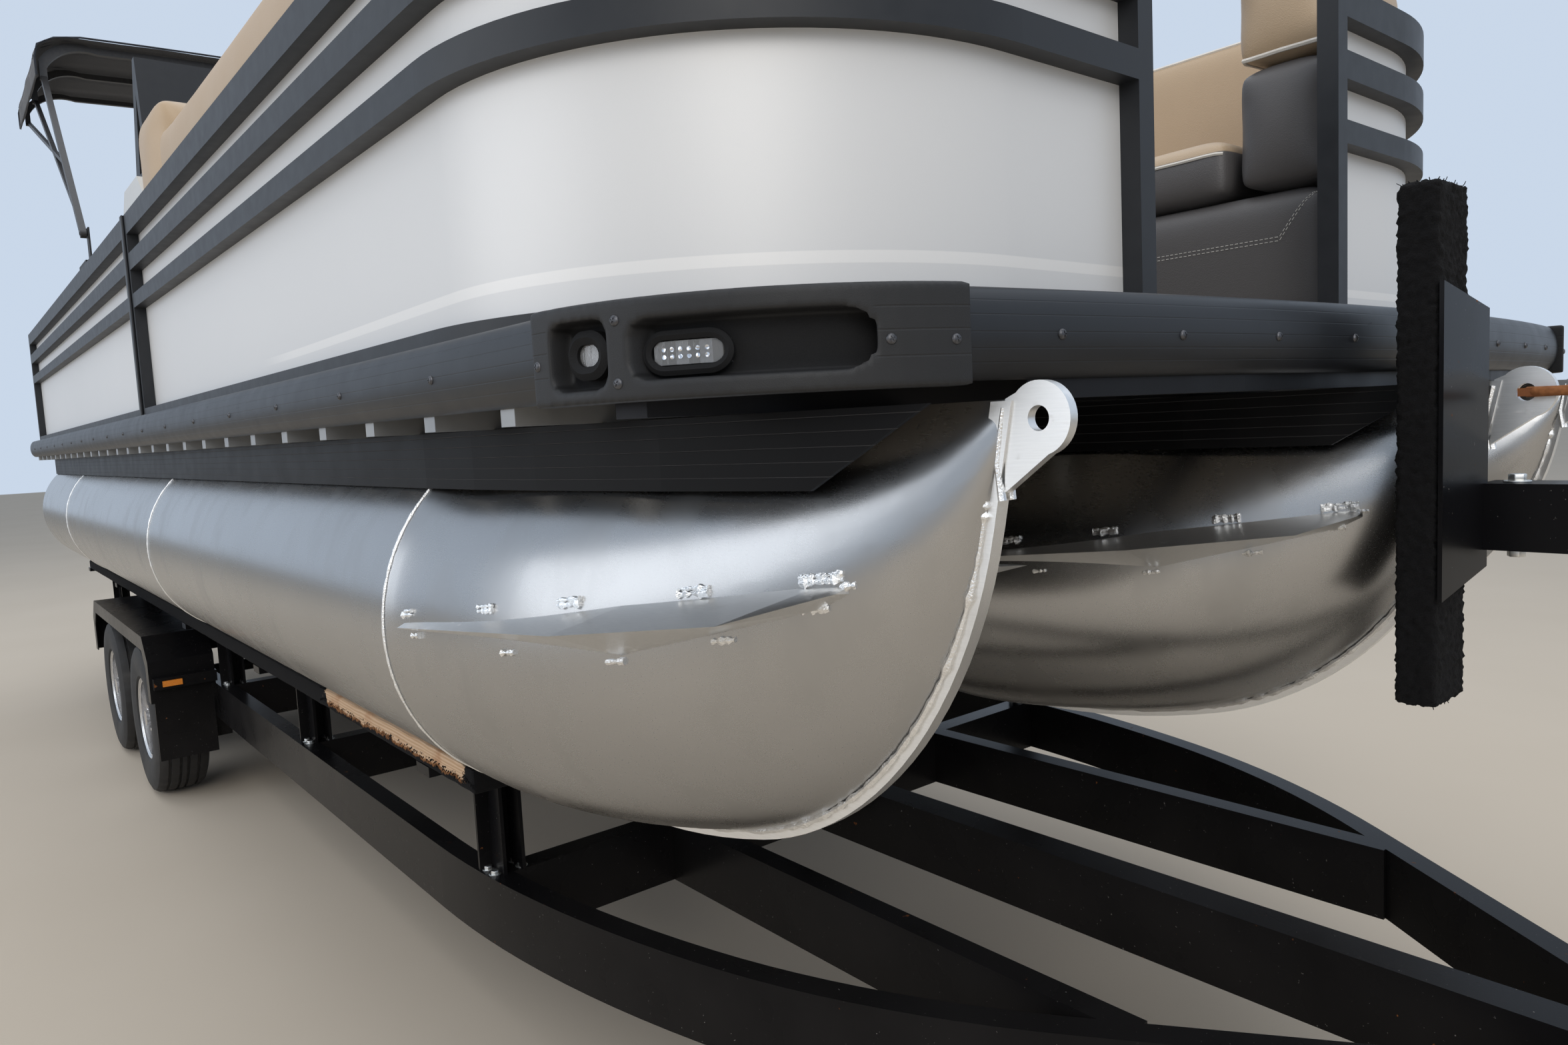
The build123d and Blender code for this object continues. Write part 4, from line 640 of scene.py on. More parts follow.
# Each lamp has a clear ribbed lens in a black bezel, and the docking lamp shows two rows of diodes.
# Bezels and diodes follow the lens faces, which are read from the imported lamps.
clear = Finish("clear_lens", Base_Color=(0.95, 0.97, 1.0), Roughness=0.04, IOR=1.49)
clear.put(Transmission_Weight=0.85)
clear.bump(clear.speckle(120, 1, (2.4, 1, 0.4)), 0.002, 0.5)
dress(clear, "bow_lights")
reflector = Finish("lamp_reflector", Metallic=1.0, Roughness=0.12)
cell = reflector.cells(160.0)
reflector.put(Base_Color=reflector.blend(cell, (0.45, 0.46, 0.48), (0.95, 0.96, 1.0)))
reflector.bump(cell, 0.002, 0.8)
lens_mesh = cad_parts["bow_lights"]


def lens_face(x, hand, rear, front):
    """A point on a lamp's face at this x, carried on straight beyond the lens, and the way it faces."""
    held = min(max(x, rear + 0.002), front - 0.002)
    _, place, out, _ = lens_mesh.ray_cast(Vector((bow + held, hand * 1.6, 1.545)), Vector((0, -hand, 0)))
    return place + Vector((1, -out.x / out.y, 0)) * (x - held), out


docking_lens, navigation_lens = (-0.268, -0.205, 1.528, 1.552), (-0.366, -0.328, 1.530, 1.560)
rim_sizes = ((docking_lens, 0.006, 0.0055), (navigation_lens, 0.004, 0.0085))
bezels, chips = [], []
for hand in (-1, 1):
    for (rear, front, low, high), grow, thick in rim_sizes:
        corner = (high - low) / 2
        flat = max(0.0, (front - rear) / 2 - corner)
        rim_line = []
        for step in range(40):
            turn = 2 * pi * step / 40
            x = (rear + front) / 2 + (flat if cos(turn) > 0 else -flat) + (corner + grow) * cos(turn)
            place, _ = lens_face(x, hand, rear, front)
            rim_line.append((place.x, place.y, (low + high) / 2 + (corner + grow) * sin(turn)))
        bezels.append(bead(rim_line, thick, 0.0, True))
    for k in range(6):
        for z in (1.536, 1.5435):
            place, out = lens_face(-0.258 + 0.008 * k, hand, *docking_lens[:2])
            chips.append(((place.x, place.y, z), out))
finished(joined("lamp_bezels", bezels), moulded)
diode = disc(12, 0.0024, 0.0016)
finished(placed(diode, chips, "docking_light_diodes"), reflector)


# The fence panels are white metallic sheet with a clear coat and a paler stripe that sweeps up at the bow.
# The gate leaves are the same sheet in charcoal frames, as one piece each.
panel = Finish("white_metallic_panel", IOR=1.5)
flake = panel.speckle(1400, 1)
wave = panel.speckle(1.3, 2)
along = panel.axis("X")
over_stripe = panel.axis("Z") - (1.652 + panel.ramp(along, bow - 1.9, bow - 0.5) * 0.012)
stripe = panel.between(over_stripe, 0.0, 0.0175, 0.0015) * panel.ramp(along, bow - 2.0, bow - 1.7)
white = panel.blend(wave * 0.5 + flake * 0.25, (0.70, 0.71, 0.725), (0.80, 0.805, 0.815))
panel.put(Base_Color=panel.blend(stripe, white, (0.86, 0.86, 0.86)))
panel.put(Metallic=0.12, Roughness=0.4 + flake * 0.12, Coat_Weight=0.15, Coat_Roughness=0.3)
panel.bump(flake, 0.0002, 0.3)
dress(panel, "bow_fence_panels", "aft_fence_panels")
leaf = Finish("gate_leaf_finish", IOR=1.5)
leaf_height = leaf.axis("Z")
leaf_spots = leaf.speckle(25, 4)
leaf_bands = ((1.626, 1.952), (2.001, 2.074), (2.132, 2.190))
sheet_share = sum(leaf.between(leaf_height, low, high, 0.001) for low, high in leaf_bands)
leaf_frame = leaf.blend(leaf_spots, *charcoal_pair)
leaf_sheet = leaf.blend(leaf_spots, (0.68, 0.69, 0.705), (0.78, 0.785, 0.795))
leaf.put(Base_Color=leaf.blend(sheet_share, leaf_frame, leaf_sheet), Roughness=0.36 + leaf_spots * 0.15)
leaf.bump(leaf_spots, 0.0004, 0.3)
dress(leaf, "bow_gate", "side_gate", "stern_gate")

# A black cover strip hides the starboard joint between the bow and aft fence sections.
# It is a flat bar with rounded edges, as high as the fence.
strip = block((0.034, 0.008, 0.664), Matrix.Translation((bow - 3.438, -1.249, 1.925)))
strip.name = strip.data.name = "fence_joint_strip"
finished(bevelled(strip, 0.003, 3), satin)


# The deck is plywood covered with woven vinyl in narrow greige rows.
# The weave is raised where a row crosses a pick, and flecked with pale and dark yarn.
weave = Finish("woven_deck_vinyl", IOR=1.45)
rows = weave.waves("Y", 90.0, Distortion=0.6)
picks = weave.waves("X", 60.0, Distortion=1.0)
fleck = weave.speckle(220, 3)
weave.put(Base_Color=weave.blend(fleck * 0.7 + rows * 0.3, (0.16, 0.14, 0.12), (0.36, 0.33, 0.29)))
weave.put(Roughness=0.6 + fleck * 0.2)
weave.bump(rows * picks, 0.0012, 0.7)
dress(weave, "deck")


# The seats are foam under grained vinyl: tan backs and tops, charcoal fronts, white piping in the seams.
# Each is blown up from its CAD solid with Cloth, so it crowns and its sides pull in between its corners.
def vinyl(name, light, below=None, split=None):
    """Grained marine vinyl, of one colour, or of a second one below a height."""
    made = Finish(name, IOR=1.48)
    pore = made.cells(420.0)
    crease = made.speckle(9, 4)
    fade = made.speckle(2.5, 3)
    tone = made.blend(fade * 0.6 + crease * 0.2, light, tuple(c * 0.84 for c in light))
    if split is not None:
        share = made.ramp(made.axis("Z"), split - 0.0015, split + 0.0015)
        tone = made.blend(share, below, tone)
    made.put(Base_Color=tone, Roughness=0.4 + crease * 0.14)
    made.bump(pore * 0.5 + crease * 0.5, 0.0012, 0.5)
    return made


tan = (0.53, 0.40, 0.27)
charcoal = (0.105, 0.101, 0.103)
seat_seam, seat_front = 2.018, 0.43
tan_vinyl = vinyl("tan_vinyl", tan)
grey_vinyl = vinyl("charcoal_vinyl", charcoal)
seat_vinyl = vinyl("seat_vinyl", tan, charcoal, seat_seam)
piping_finish = mottled(
    "white_piping", 60, 3, (0.82, 0.80, 0.76), (0.66, 0.63, 0.58), (0.45, 0.0), (0.0006, 0.4), IOR=1.48)


def upholstered(name, solid, cell, swell, shrink=0.004):
    """Blow one seat solid up from a remeshed copy, capped at swell."""
    solid.name = name
    solid.data.name = name
    remeshed(solid, cell, 4)
    mesh = solid.data
    mesh.calc_loop_triangles()
    starts = [v.co - v.normal * shrink for v in mesh.vertices]
    for v, place in zip(mesh.vertices, starts):
        v.co = place
    mesh.update()
    cloth = solid.modifiers.new("cloth", "CLOTH")
    cloth.settings.use_pressure = True
    cloth.settings.uniform_pressure_force = 4
    cloth.settings.effector_weights.gravity = 0
    cloth.settings.quality = 4
    for moment in range(1, 13):
        bpy.context.scene.frame_set(moment)
    blown = solid.evaluated_get(bpy.context.evaluated_depsgraph_get()).data
    moved = [v.co.copy() for v in blown.vertices]
    solid.modifiers.clear()
    bpy.context.scene.frame_set(1)
    for v, place, start in zip(mesh.vertices, moved, starts):
        step = place - start
        if step.length > swell:
            step = step.normalized() * swell
        v.co = start + step
    mesh.update()
    smooth = solid.modifiers.new("smooth", "SMOOTH")
    smooth.factor = 0.5
    smooth.iterations = 3
    finer = solid.modifiers.new("finer", "SUBSURF")
    finer.levels = 1
    finer.render_levels = 1
    return settle(solid)


seat_pieces = []
for node, finish in (("lounge_cushions", seat_vinyl), ("lounge_backs", tan_vinyl)):
    made = []
    for index, solid in enumerate(solids_of(node)):
        piece = upholstered(f"{node}_{index}", solid, 0.026, 0.012)
        reach = max(v.co.x for v in piece.data.vertices)
        fore_rest = node == "lounge_cushions" and reach > bow - 0.40
        finished(piece, grey_vinyl if fore_rest else finish, smooth=60)
        made.append(piece)
    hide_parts(node)
    seat_pieces += made
base_pieces = []
for index, solid in enumerate(solids_of("lounge_bases")):
    piece = upholstered(f"lounge_base_{index}", solid, 0.03, 0.003, 0.003)
    finished(piece, grey_vinyl, smooth=60)
    base_pieces.append(piece)
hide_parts("lounge_bases")


def pinned(path, pieces, stand=0.001):
    """Move points onto the nearest of some soft pieces, to stand just off the surface."""
    found = []
    for point in path:
        nearest = None
        for piece in pieces:
            hit, place, out, _ = piece.closest_point_on_mesh(Vector(point))
            distance = (place - Vector(point)).length
            if hit and (nearest is None or distance < nearest[0]):
                nearest = (distance, place + out * stand)
        found.append(nearest[1])
    return found


def stations(points, step=0.03):
    """Points every few centimetres along straight runs between corners."""
    out = []
    for a, b in zip(points, points[1:]):
        a, b = Vector(a), Vector(b)
        count = max(1, int((b - a).length / step))
        out += [a + (b - a) * (k / count) for k in range(count)]
    return out + [Vector(points[-1])]


lounge_rear, lounge_fore, rest_top = bow - 3.03, bow - 0.53, 2.18
piping = []
for hand in (1, -1):
    back_top = stations([(lounge_rear, hand, 2.44), (lounge_fore, hand, 2.44)])
    piping.append(bead(pinned(back_top, seat_pieces), 0.0045, 0.0))
    front_y = hand * (seat_front - 0.005)
    seat_edge = stations([(lounge_rear, front_y, seat_seam), (lounge_fore, front_y, seat_seam)])
    piping.append(bead(pinned(seat_edge, seat_pieces), 0.004, 0.0))
    fore = stations([(bow + x, hand * y, rest_top) for x, y in (
        (-0.52, 0.6), (-0.52, seat_front), (-0.32, seat_front), (-0.32, 0.75))])
    piping.append(bead(pinned(fore, seat_pieces, 0.002), 0.005, 0.0))
finished(joined("seat_piping", piping), piping_finish)


def meshed(name, verts, faces):
    """A piece from its corners and faces."""
    data = bpy.data.meshes.new(name)
    data.from_pydata(verts, [], faces)
    made = bpy.data.objects.new(name, data)
    bpy.context.collection.objects.link(made)
    return made


# Twin rows of white stitching run along the lounge fronts and down beside the gate.
# Each stitch is a short square strand of thread, lying on the vinyl with a gap before the next.
thread = mottled("white_thread", 900, 1, (0.78, 0.77, 0.74), (0.5, 0.49, 0.47), (0.6, 0.0))
stitch_pitch, thread_half = 0.011, 0.0008
dashes = []
for hand in (1, -1):
    for offset in (0.0, 0.008):
        y = hand * seat_front
        line = stations([(bow - 3.0, y, 1.80 + offset), (bow - 0.42, y, 1.80 + offset)], stitch_pitch)
        climb = stations([(bow - 0.42, y, 1.80 + offset), (bow - 0.33, y, 1.93 + offset)], stitch_pitch)
        line = pinned(line[:-1] + climb, base_pieces, 0.0006)
        for start, end in zip(line, line[1:]):
            gap = end - start
            if gap.length <= 0.02:
                dashes.append((start + gap * 0.12, start + gap * 0.72))
verts, faces = [], []
for a, b in dashes:
    run = (b - a).normalized()
    across = run.cross(Vector((0, 0, 1))).normalized() * thread_half
    lift = across.cross(run).normalized() * thread_half
    first = len(verts)
    for end in (a, b):
        verts += [end + across, end + lift, end - across, end - lift]
    for k in range(4):
        n = (k + 1) % 4
        faces.append((first + k, first + n, first + 4 + n, first + 4 + k))
    faces += [(first + 3, first + 2, first + 1, first), (first + 4, first + 5, first + 6, first + 7)]
finished(meshed("lounge_stitching", verts, faces), thread, smooth=0)


# The helm console is a moulded shell in pale gelcoat with a dark dash.
# Its wheel is wrapped in grained black vinyl round a bright hub cap.
gelcoat = Finish("console_gelcoat", IOR=1.5, Coat_Weight=0.4)
peel = gelcoat.speckle(60, 2)
age = gelcoat.speckle(3, 3)
dash_share = gelcoat.ramp(gelcoat.axis("X"), bow - 4.02, bow - 4.05)
dash_share = dash_share * gelcoat.ramp(gelcoat.axis("Z"), 2.03, 2.06)
shell = gelcoat.blend(age, (0.66, 0.65, 0.62), (0.56, 0.55, 0.52))
gelcoat.put(Base_Color=gelcoat.blend(dash_share, shell, (0.02, 0.02, 0.022)), Roughness=0.3 + peel * 0.1)
gelcoat.bump(peel, 0.0004, 0.3)
dress(gelcoat, "helm_console")
grip = Finish("steering_wheel_black", IOR=1.48)
palm = grip.speckle(14, 3)
grip.put(Base_Color=grip.blend(palm, (0.018, 0.018, 0.02), (0.06, 0.06, 0.062)), Roughness=0.45 + palm * 0.15)
grip.bump(grip.cells(500.0), 0.0006, 0.5)
dress(grip, "steering_wheel")
bright = mottled(
    "bright_steel", 45, 4, (0.86, 0.86, 0.87), (0.62, 0.62, 0.63), (0.12, 0.16), (0.0003, 0.3), Metallic=1.0)
dial_face = mottled(
    "dial_face", 300, 2, (0.012, 0.012, 0.014), (0.04, 0.04, 0.042), (0.2, 0.1), (0.0002, 0.2),
    IOR=1.5, Coat_Weight=0.8)

# The sloped dash carries round gauges with bright bezels and white marks, and two rows of rocker switches.
# It runs from bow - 3.93 at z 2.44 down to bow - 4.18 at z 2.18, so the parts on it share that tilt.
dash_out = Vector((-0.26, 0, 0.25)).normalized()
dash_down = Vector((-0.25, 0, -0.26)).normalized()
dash_top = Vector((bow - 3.93, 0, 2.44))
gauge_drop, switch_drop = 0.12, 0.225
bezel_parts, face_parts, mark_parts = [], [], []
for y, radius in ((-0.62, 0.042), (-0.735, 0.042), (-0.85, 0.042), (-0.965, 0.042), (-1.06, 0.028)):
    centre = dash_top + dash_down * gauge_drop + Vector((0, y, 0)) + dash_out * 0.004
    bpy.ops.mesh.primitive_torus_add(
        major_segments=48, minor_segments=10, major_radius=radius, minor_radius=0.005)
    ring = bpy.context.object
    ring.matrix_world = facing_along(centre, dash_out)
    bezel_parts.append(settle(ring))
    face_parts.append(disc(48, radius, 0.006, facing_along(centre - dash_out * 0.001, dash_out)))
    for mark in range(11):
        turn = radians(-225 + 27 * mark)
        spoke = Vector((0, 1, 0)) * cos(turn) - dash_down * sin(turn)
        place = centre + spoke * radius * 0.8 + dash_out * 0.0022
        mark_parts.append(block((0.0016, 0.0016, 0.001), facing_along(place, dash_out)))
finished(joined("gauge_bezels", bezel_parts), bright)
finished(joined("gauge_faces", face_parts), dial_face)
finished(joined("gauge_marks", mark_parts), thread)
switches = []
for k in range(6):
    y = -0.99 - 0.028 * k if k > 2 else -0.5 - 0.03 * k
    centre = dash_top + dash_down * switch_drop + Vector((0, y, 0)) + dash_out * 0.006
    switches.append(bevelled(block((0.034, 0.018, 0.014), facing_along(centre, dash_out)), 0.004, 3))
finished(joined("dash_switches", switches), moulded)
wheel_centre = Vector((bow - 4.26782, -0.79, 2.16494))
wheel_axis = Vector((-0.906308, 0, 0.422618))
hub_cap = disc(40, 0.03, 0.012, facing_along(wheel_centre + wheel_axis * 0.001, wheel_axis))
finished(bevelled(hub_cap, 0.004, 3), bright, "steering_wheel")


# The helm chair has a padded seat, back and arms in tan vinyl, on a turned aluminium pedestal.
# White piping runs up and over its back on both sides.
chair_parts = []
for index, solid in enumerate(solids_of("helm_chair")):
    piece = upholstered(f"helm_chair_pad_{index}", solid, 0.014, 0.010, 0.003)
    finished(piece, tan_vinyl, "helm_chair", 60)
    chair_parts.append(piece)
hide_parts("helm_chair")
chair_x, chair_y = bow - 4.9, -0.78
chair_seams = []
for offset in (-0.19, 0.19):
    over_back = stations([
        (chair_x + x, chair_y + offset, z)
        for x, z in ((-0.12, 2.06), (-0.12, 2.50), (-0.27, 2.50), (-0.27, 2.08))
    ], 0.02)
    chair_seams.append(bead(pinned(over_back, chair_parts, 0.0008), 0.003, 0.0))
finished(joined("helm_chair_piping", chair_seams), piping_finish, "helm_chair")
dress(bar_metal, "chair_pedestal")


# The canopy is navy-black acrylic canvas stretched over three bows, hemmed all round.
# A twin seam follows each bow, and the bows are tubes in black powder coat.
canvas = Finish("navy_canvas", IOR=1.45)
warp = canvas.waves("X", 260.0, Distortion=0.4)
weft = canvas.waves("Y", 260.0, Distortion=0.4)
bleach = canvas.speckle(1.6, 4)
faded = bleach * 0.7 + warp * weft * 0.3
canvas.put(Base_Color=canvas.blend(faded, (0.008, 0.011, 0.018), (0.028, 0.036, 0.055)))
canvas.put(Roughness=0.75 + bleach * 0.1, Sheen_Weight=0.25)
canvas.bump(warp * weft, 0.0009, 0.6)


def canopy_profile(share):
    """y and height over the canvas's crown line, for a share from 0 at starboard to 1 at port."""
    half, knee, crown, shoulder, edge, flat = 1.256, 1.046, 0.1, 0.08, -0.120, 0.86
    run = share * 2 - 1
    if abs(run) <= flat:
        y = knee * run / flat
        return y, crown - (crown - shoulder) * (y / knee) ** 2
    past = (abs(run) - flat) / (1 - flat)
    turn = min(1.0, past * 1.45) * pi / 2
    y = knee + (half - knee) * sin(turn)
    z = shoulder - 0.095 * (1 - cos(turn))
    if past > 0.69:
        z = max(edge, z - (past - 0.69) / 0.31 * (z - edge))
    return (y if run > 0 else -y), z


rows_along, rows_across = 64, 120
crown_level = 3.36
bow_lines = [bow - 5.40, bow - 5.82, bow - 6.25]
fore_x, aft_x = bow - 5.32, bow - 6.33
verts, faces = [], []
for i in range(rows_along + 1):
    x = fore_x + (aft_x - fore_x) * i / rows_along
    sag = min(0.013, min(abs(x - line) for line in bow_lines) * 0.09)
    for j in range(rows_across + 1):
        y, z = canopy_profile(j / rows_across)
        flutter = noise.noise(Vector((x * 5, y * 5, z * 9))) * 0.0025
        on_top = 1.0 if abs(y) < 1.1 else 0.0
        pulled = y * (0.999 - 0.24 * sag * (1 - on_top))
        verts.append((x, pulled, crown_level + z - 0.003 - sag * on_top + flutter))
for i in range(rows_along):
    for j in range(rows_across):
        a = i * (rows_across + 1) + j
        faces.append((a, a + 1, a + rows_across + 2, a + rows_across + 1))
face_out = partial(bpy.ops.mesh.normals_make_consistent, inside=False)
canopy = edited(meshed("canopy_canvas", verts, faces), face_out)
if canopy.data.polygons[len(canopy.data.polygons) // 2].normal.z < 0:
    canopy.data.flip_normals()
thick = canopy.modifiers.new("thick", "SOLIDIFY")
thick.thickness = 0.0022
thick.offset = -1
settle(canopy)
finished(canopy, canvas, "bimini", 50)
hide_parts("canopy")


def over_canopy(x, low, high, level, shrink=1.0):
    """Points across the canvas at this x, between two shares of its width."""
    profile = [canopy_profile(low + (high - low) * j / 60) for j in range(61)]
    return [(x, y * shrink, level + z) for y, z in profile]


hems = []
for x in (fore_x - 0.006, aft_x + 0.006):
    hems.append(bead(over_canopy(x, 0.0, 1.0, crown_level - 0.0025, 0.999), 0.0045, 0.1))
for share in (0.0, 1.0):
    y, z = canopy_profile(share)
    run = (aft_x - fore_x) / 30
    edge_line = [(fore_x + run * k, y * 0.998, crown_level + z + 0.002) for k in range(31)]
    hems.append(bead(edge_line, 0.0045, 0.1))
for line in bow_lines:
    for offset in (-0.022, 0.022):
        hems.append(bead(over_canopy(line + offset, 0.02, 0.98, crown_level - 0.003), 0.0014, 0.3, sides=4))
hem = finished(joined("canopy_hems", hems), canvas, "bimini")
bow_paint = mottled(
    "bow_powder_coat", 80, 4, (0.014, 0.014, 0.016), (0.05, 0.05, 0.053), (0.38, 0.14), (0.0004, 0.4),
    IOR=1.5)
dress(bow_paint, "bimini_bows")


# The outboard is a gloss black moulded cowl on a satin leg, with a rubber seal where the cowl lifts off.
# Its propeller is polished stainless steel, and the engine block inside is bare cast iron.
gloss = Finish("motor_gloss_black", Coat_Weight=0.8, IOR=1.5)
film = gloss.speckle(3, 4)
gloss.put(Base_Color=gloss.blend(film * 0.6, (0.010, 0.010, 0.012), (0.03, 0.03, 0.034)))
gloss.put(Roughness=0.14 + film * 0.12)
gloss.bump(gloss.speckle(160, 2), 0.0003, 0.2)
leg_paint = mottled(
    "motor_leg_paint", 24, 5, (0.012, 0.012, 0.014), (0.05, 0.05, 0.054), (0.3, 0.2), (0.0006, 0.3), IOR=1.5)
dress(leg_paint, "motor_midsection", "motor_swivel", "motor_bracket", "motor_cowl")
steel = mottled(
    "polished_propeller", 30, 4, (0.78, 0.77, 0.75), (0.6, 0.59, 0.57), (0.16, 0.14), (0.0004, 0.3),
    along=(6, 1, 1), Metallic=1.0)
dress(steel, "propeller")
cast = mottled("cast_iron", 200, 4, (0.1, 0.1, 0.1), (0.2, 0.2, 0.2), (0.6, 0.0), (0.001, 0.6), Metallic=0.6)
dress(cast, "engine_block")

cowl = remeshed(joined("motor_cowl_shell", solids_of("motor_cowl")), 0.011, 12)
finished(cowl, gloss, "motor", 60)
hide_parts("motor_cowl")
seal_level = 1.86
seal_line = []
for k in range(72):
    turn = 2 * pi * k / 72
    outside = Vector((bow - 7.95 + 0.42 * cos(turn), 0.36 * sin(turn), seal_level))
    _, place, out, _ = cowl.closest_point_on_mesh(outside)
    flat_out = Vector((out.x, out.y, 0)).normalized()
    seal_line.append(Vector((place.x, place.y, seal_level)) + flat_out * 0.001)
finished(bead(seal_line, 0.006, 0.0, True), dark_screw, "motor").name = "cowl_seal"


# The trailer frame is welded box steel in black enamel, chipped by stones, with small spots of rust.
# Zinc-plated bolts clamp the bunk brackets to its crossmembers; the jack leg and winch are zinc-plated too.
enamel = Finish("black_enamel", IOR=1.5, Specular_IOR_Level=0.09)
dull = enamel.speckle(5, 4)
stone_chip = enamel.ramp(enamel.speckle(150, 3, None, 0.6), 0.71, 0.73)
rust_spot = enamel.ramp(enamel.speckle(38, 5), 0.725, 0.76)
low_side = enamel.ramp(enamel.axis("Z"), 0.75, 0.35)
paint = enamel.blend(dull * 0.6, (0.003, 0.003, 0.0037), (0.012, 0.012, 0.014))
paint = enamel.blend(low_side * dull * 0.1, paint, (0.10, 0.09, 0.08))
paint = enamel.blend(stone_chip * 0.5, paint, (0.30, 0.29, 0.28))
enamel.put(Base_Color=enamel.blend(rust_spot, paint, (0.20, 0.075, 0.025)))
enamel.put(Roughness=0.2 + dull * 0.16 + rust_spot * 0.4)
enamel.bump(dull * 0.7 + rust_spot * 0.3, 0.0006, 0.4)
dress(enamel, "trailer_frame", "bunk_brackets", "fenders", "axles", "winch_stand", "jack_tube", "coupler")
zinc = Finish("zinc_plate", Metallic=1.0)
bloom = zinc.speckle(120, 4)
zinc_rust = zinc.ramp(zinc.speckle(60, 5), 0.66, 0.74)
plating = zinc.blend(bloom, (0.60, 0.60, 0.58), (0.82, 0.82, 0.80))
zinc.put(Base_Color=zinc.blend(zinc_rust * 0.7, plating, (0.30, 0.14, 0.06)), Roughness=0.28 + bloom * 0.2)
zinc.bump(bloom, 0.0004, 0.4)
dress(zinc, "winch", "jack_leg")

frame_bolt = bolt(0.0095, 0.008)
bolt_places = [
    ((bow + cross + x, hand * y, 0.512), (0, 0, 1))
    for cross in (-1.48, -2.90, -4.08, -5.99, -7.15) for hand in (-1, 1)
    for y in (0.950, 0.888) for x in (-0.054, -0.018)
]
finished(placed(frame_bolt, bolt_places, "bracket_bolts"), zinc)


# The bunks are planks in black pile carpet, turned under and stapled. On the starboard outer one the carpet
# has torn away from the top of the front length, and bare orange-brown wood shows between ragged edges.
pile_pair = ((0.0025, 0.0025, 0.003), (0.017, 0.017, 0.019))
carpet = Finish("black_carpet", IOR=1.4)
pile = carpet.speckle(520, 3, None, 0.7)
tuft = carpet.speckle(140, 3)
carpet.put(Base_Color=carpet.blend(pile * 0.6 + tuft * 0.3, *pile_pair))
carpet.put(Roughness=0.95, Sheen_Weight=0.02, Specular_IOR_Level=0.2)
carpet.bump(pile * 0.6 + tuft * 0.4, 0.006, 1.0)
torn_from, torn_to = bow - 2.18, bow - 1.285
board_top = Vector(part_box("bunk_boards")[1]).z
torn = Finish("torn_bunk", IOR=1.45)
rag = torn.speckle(26, 6, (1.0, 1.0, 1.0), 0.75) - 0.5
height = torn.axis("Z") + rag * 0.05
bare = torn.between(torn.axis("X") + rag * 0.2, torn_from, torn_to, 0.003)
bare = bare * torn.ramp(height, board_top - 0.040, board_top - 0.0385)
bare = bare * torn.ramp(torn.axis("Y") + rag * 0.05, -1.0, -1.002)
torn_pile = torn.speckle(520, 3, None, 0.7)
fibre = torn.speckle(30, 5, (0.5, 14, 14))
growth = torn.waves("Z", 5.0, Vector=torn.stretched(1.0, 9.0, 9.0), Distortion=5.0, Detail=3.0)
plank = torn.blend(growth * 0.5 + fibre * 0.4, (0.74, 0.56, 0.40), (0.44, 0.26, 0.14))
plank = torn.blend(torn.ramp(torn.speckle(12, 4), 0.52, 0.72) * 0.55, plank, (0.34, 0.12, 0.035))
plank = torn.blend(torn.ramp(height, board_top - 0.033, board_top - 0.030), (0.20, 0.085, 0.03), plank)
torn.put(Base_Color=torn.blend(bare, torn.blend(torn_pile * 0.7, *pile_pair), plank))
torn.put(Roughness=0.95 - bare * 0.2, Specular_IOR_Level=0.2)
torn.bump((1 - bare) * (0.6 + torn_pile * 0.4) + bare * fibre * 0.2, 0.007, 1.0)

board_length, board_width, board_thick = 5.9, 0.1, 0.05
board_middle, board_offset, cut_count = bow - 4.19, 0.069, 177
board_end = board_middle - board_length / 2
slices = []
for k in range(1, cut_count):
    cut_place = (board_end + board_length * k / cut_count, 0, 0)
    slices.append(partial(bpy.ops.mesh.bisect, plane_co=cut_place, plane_no=(1, 0, 0)))
boards = []
for _, across in tubes.values():
    for hand in (-1, 1):
        place = (board_middle, across + hand * board_offset, board_top - board_thick / 2)
        board = bevelled(block((board_length, board_width, board_thick), Matrix.Translation(place)), 0.007, 2)
        edited(board, *slices)
        for v in board.data.vertices:
            v.co.z += noise.noise(v.co * 55) * 0.0014 - 0.0014
            v.co.y += noise.noise(v.co * 60 + Vector((3, 1, 7))) * 0.001
        ragged = across < 0 and hand < 0
        board.data.materials.append(torn.material if ragged else carpet.material)
        boards.append(board)
bunk = alone(joined("carpeted_bunks", boards))
bpy.ops.object.shade_smooth_by_angle(angle=radians(40))
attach(bunk, "boat_and_trailer")
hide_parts("bunk_boards")


# Torn strands and tufts of carpet stand along the tear and hang at the bunk's front corner.
# Each is one thin blade of backing, with its foot on the board and its tip at a fixed slant.
def chance(k, column):
    """A fixed number from 0 to 1 for item k."""
    return abs(noise.cell(Vector((k * 1.37 + 0.5, column * 7.7 + 0.5, 0.5)))) % 1.0


verts, faces = [], []
for k in range(1400):
    share, other, third = (chance(k, column) for column in (1, 2, 3))
    hanging = k % 5 == 0
    x = torn_from - 0.02 + (torn_to - torn_from + 0.04) * share
    if k % 3 == 0:
        x = (torn_to + 0.045 * other) if k % 2 else (torn_from - 0.05 * other)
    y = -1.085 + (0.1 * third if k % 3 == 0 else 0.072 + 0.03 * third)
    if hanging:
        y = -1.086
    z = board_top - (0.022 + 0.012 * other if hanging else 0.003)
    slant = Vector((other - 0.5, third - 0.5, -0.6 if hanging else 0.2)) * 0.011
    foot = Vector((x, y, z))
    wide = Vector((third - 0.5, 0.5 - share, 0.3)).normalized() * 0.0016
    first = len(verts)
    blade = [foot - wide, foot + wide, foot + slant + wide * 0.4 + Vector((0, 0, 0.001))]
    verts += [Vector((v.x, v.y, min(v.z, board_top - 0.0005))) for v in blade]
    faces.append((first, first + 1, first + 2))
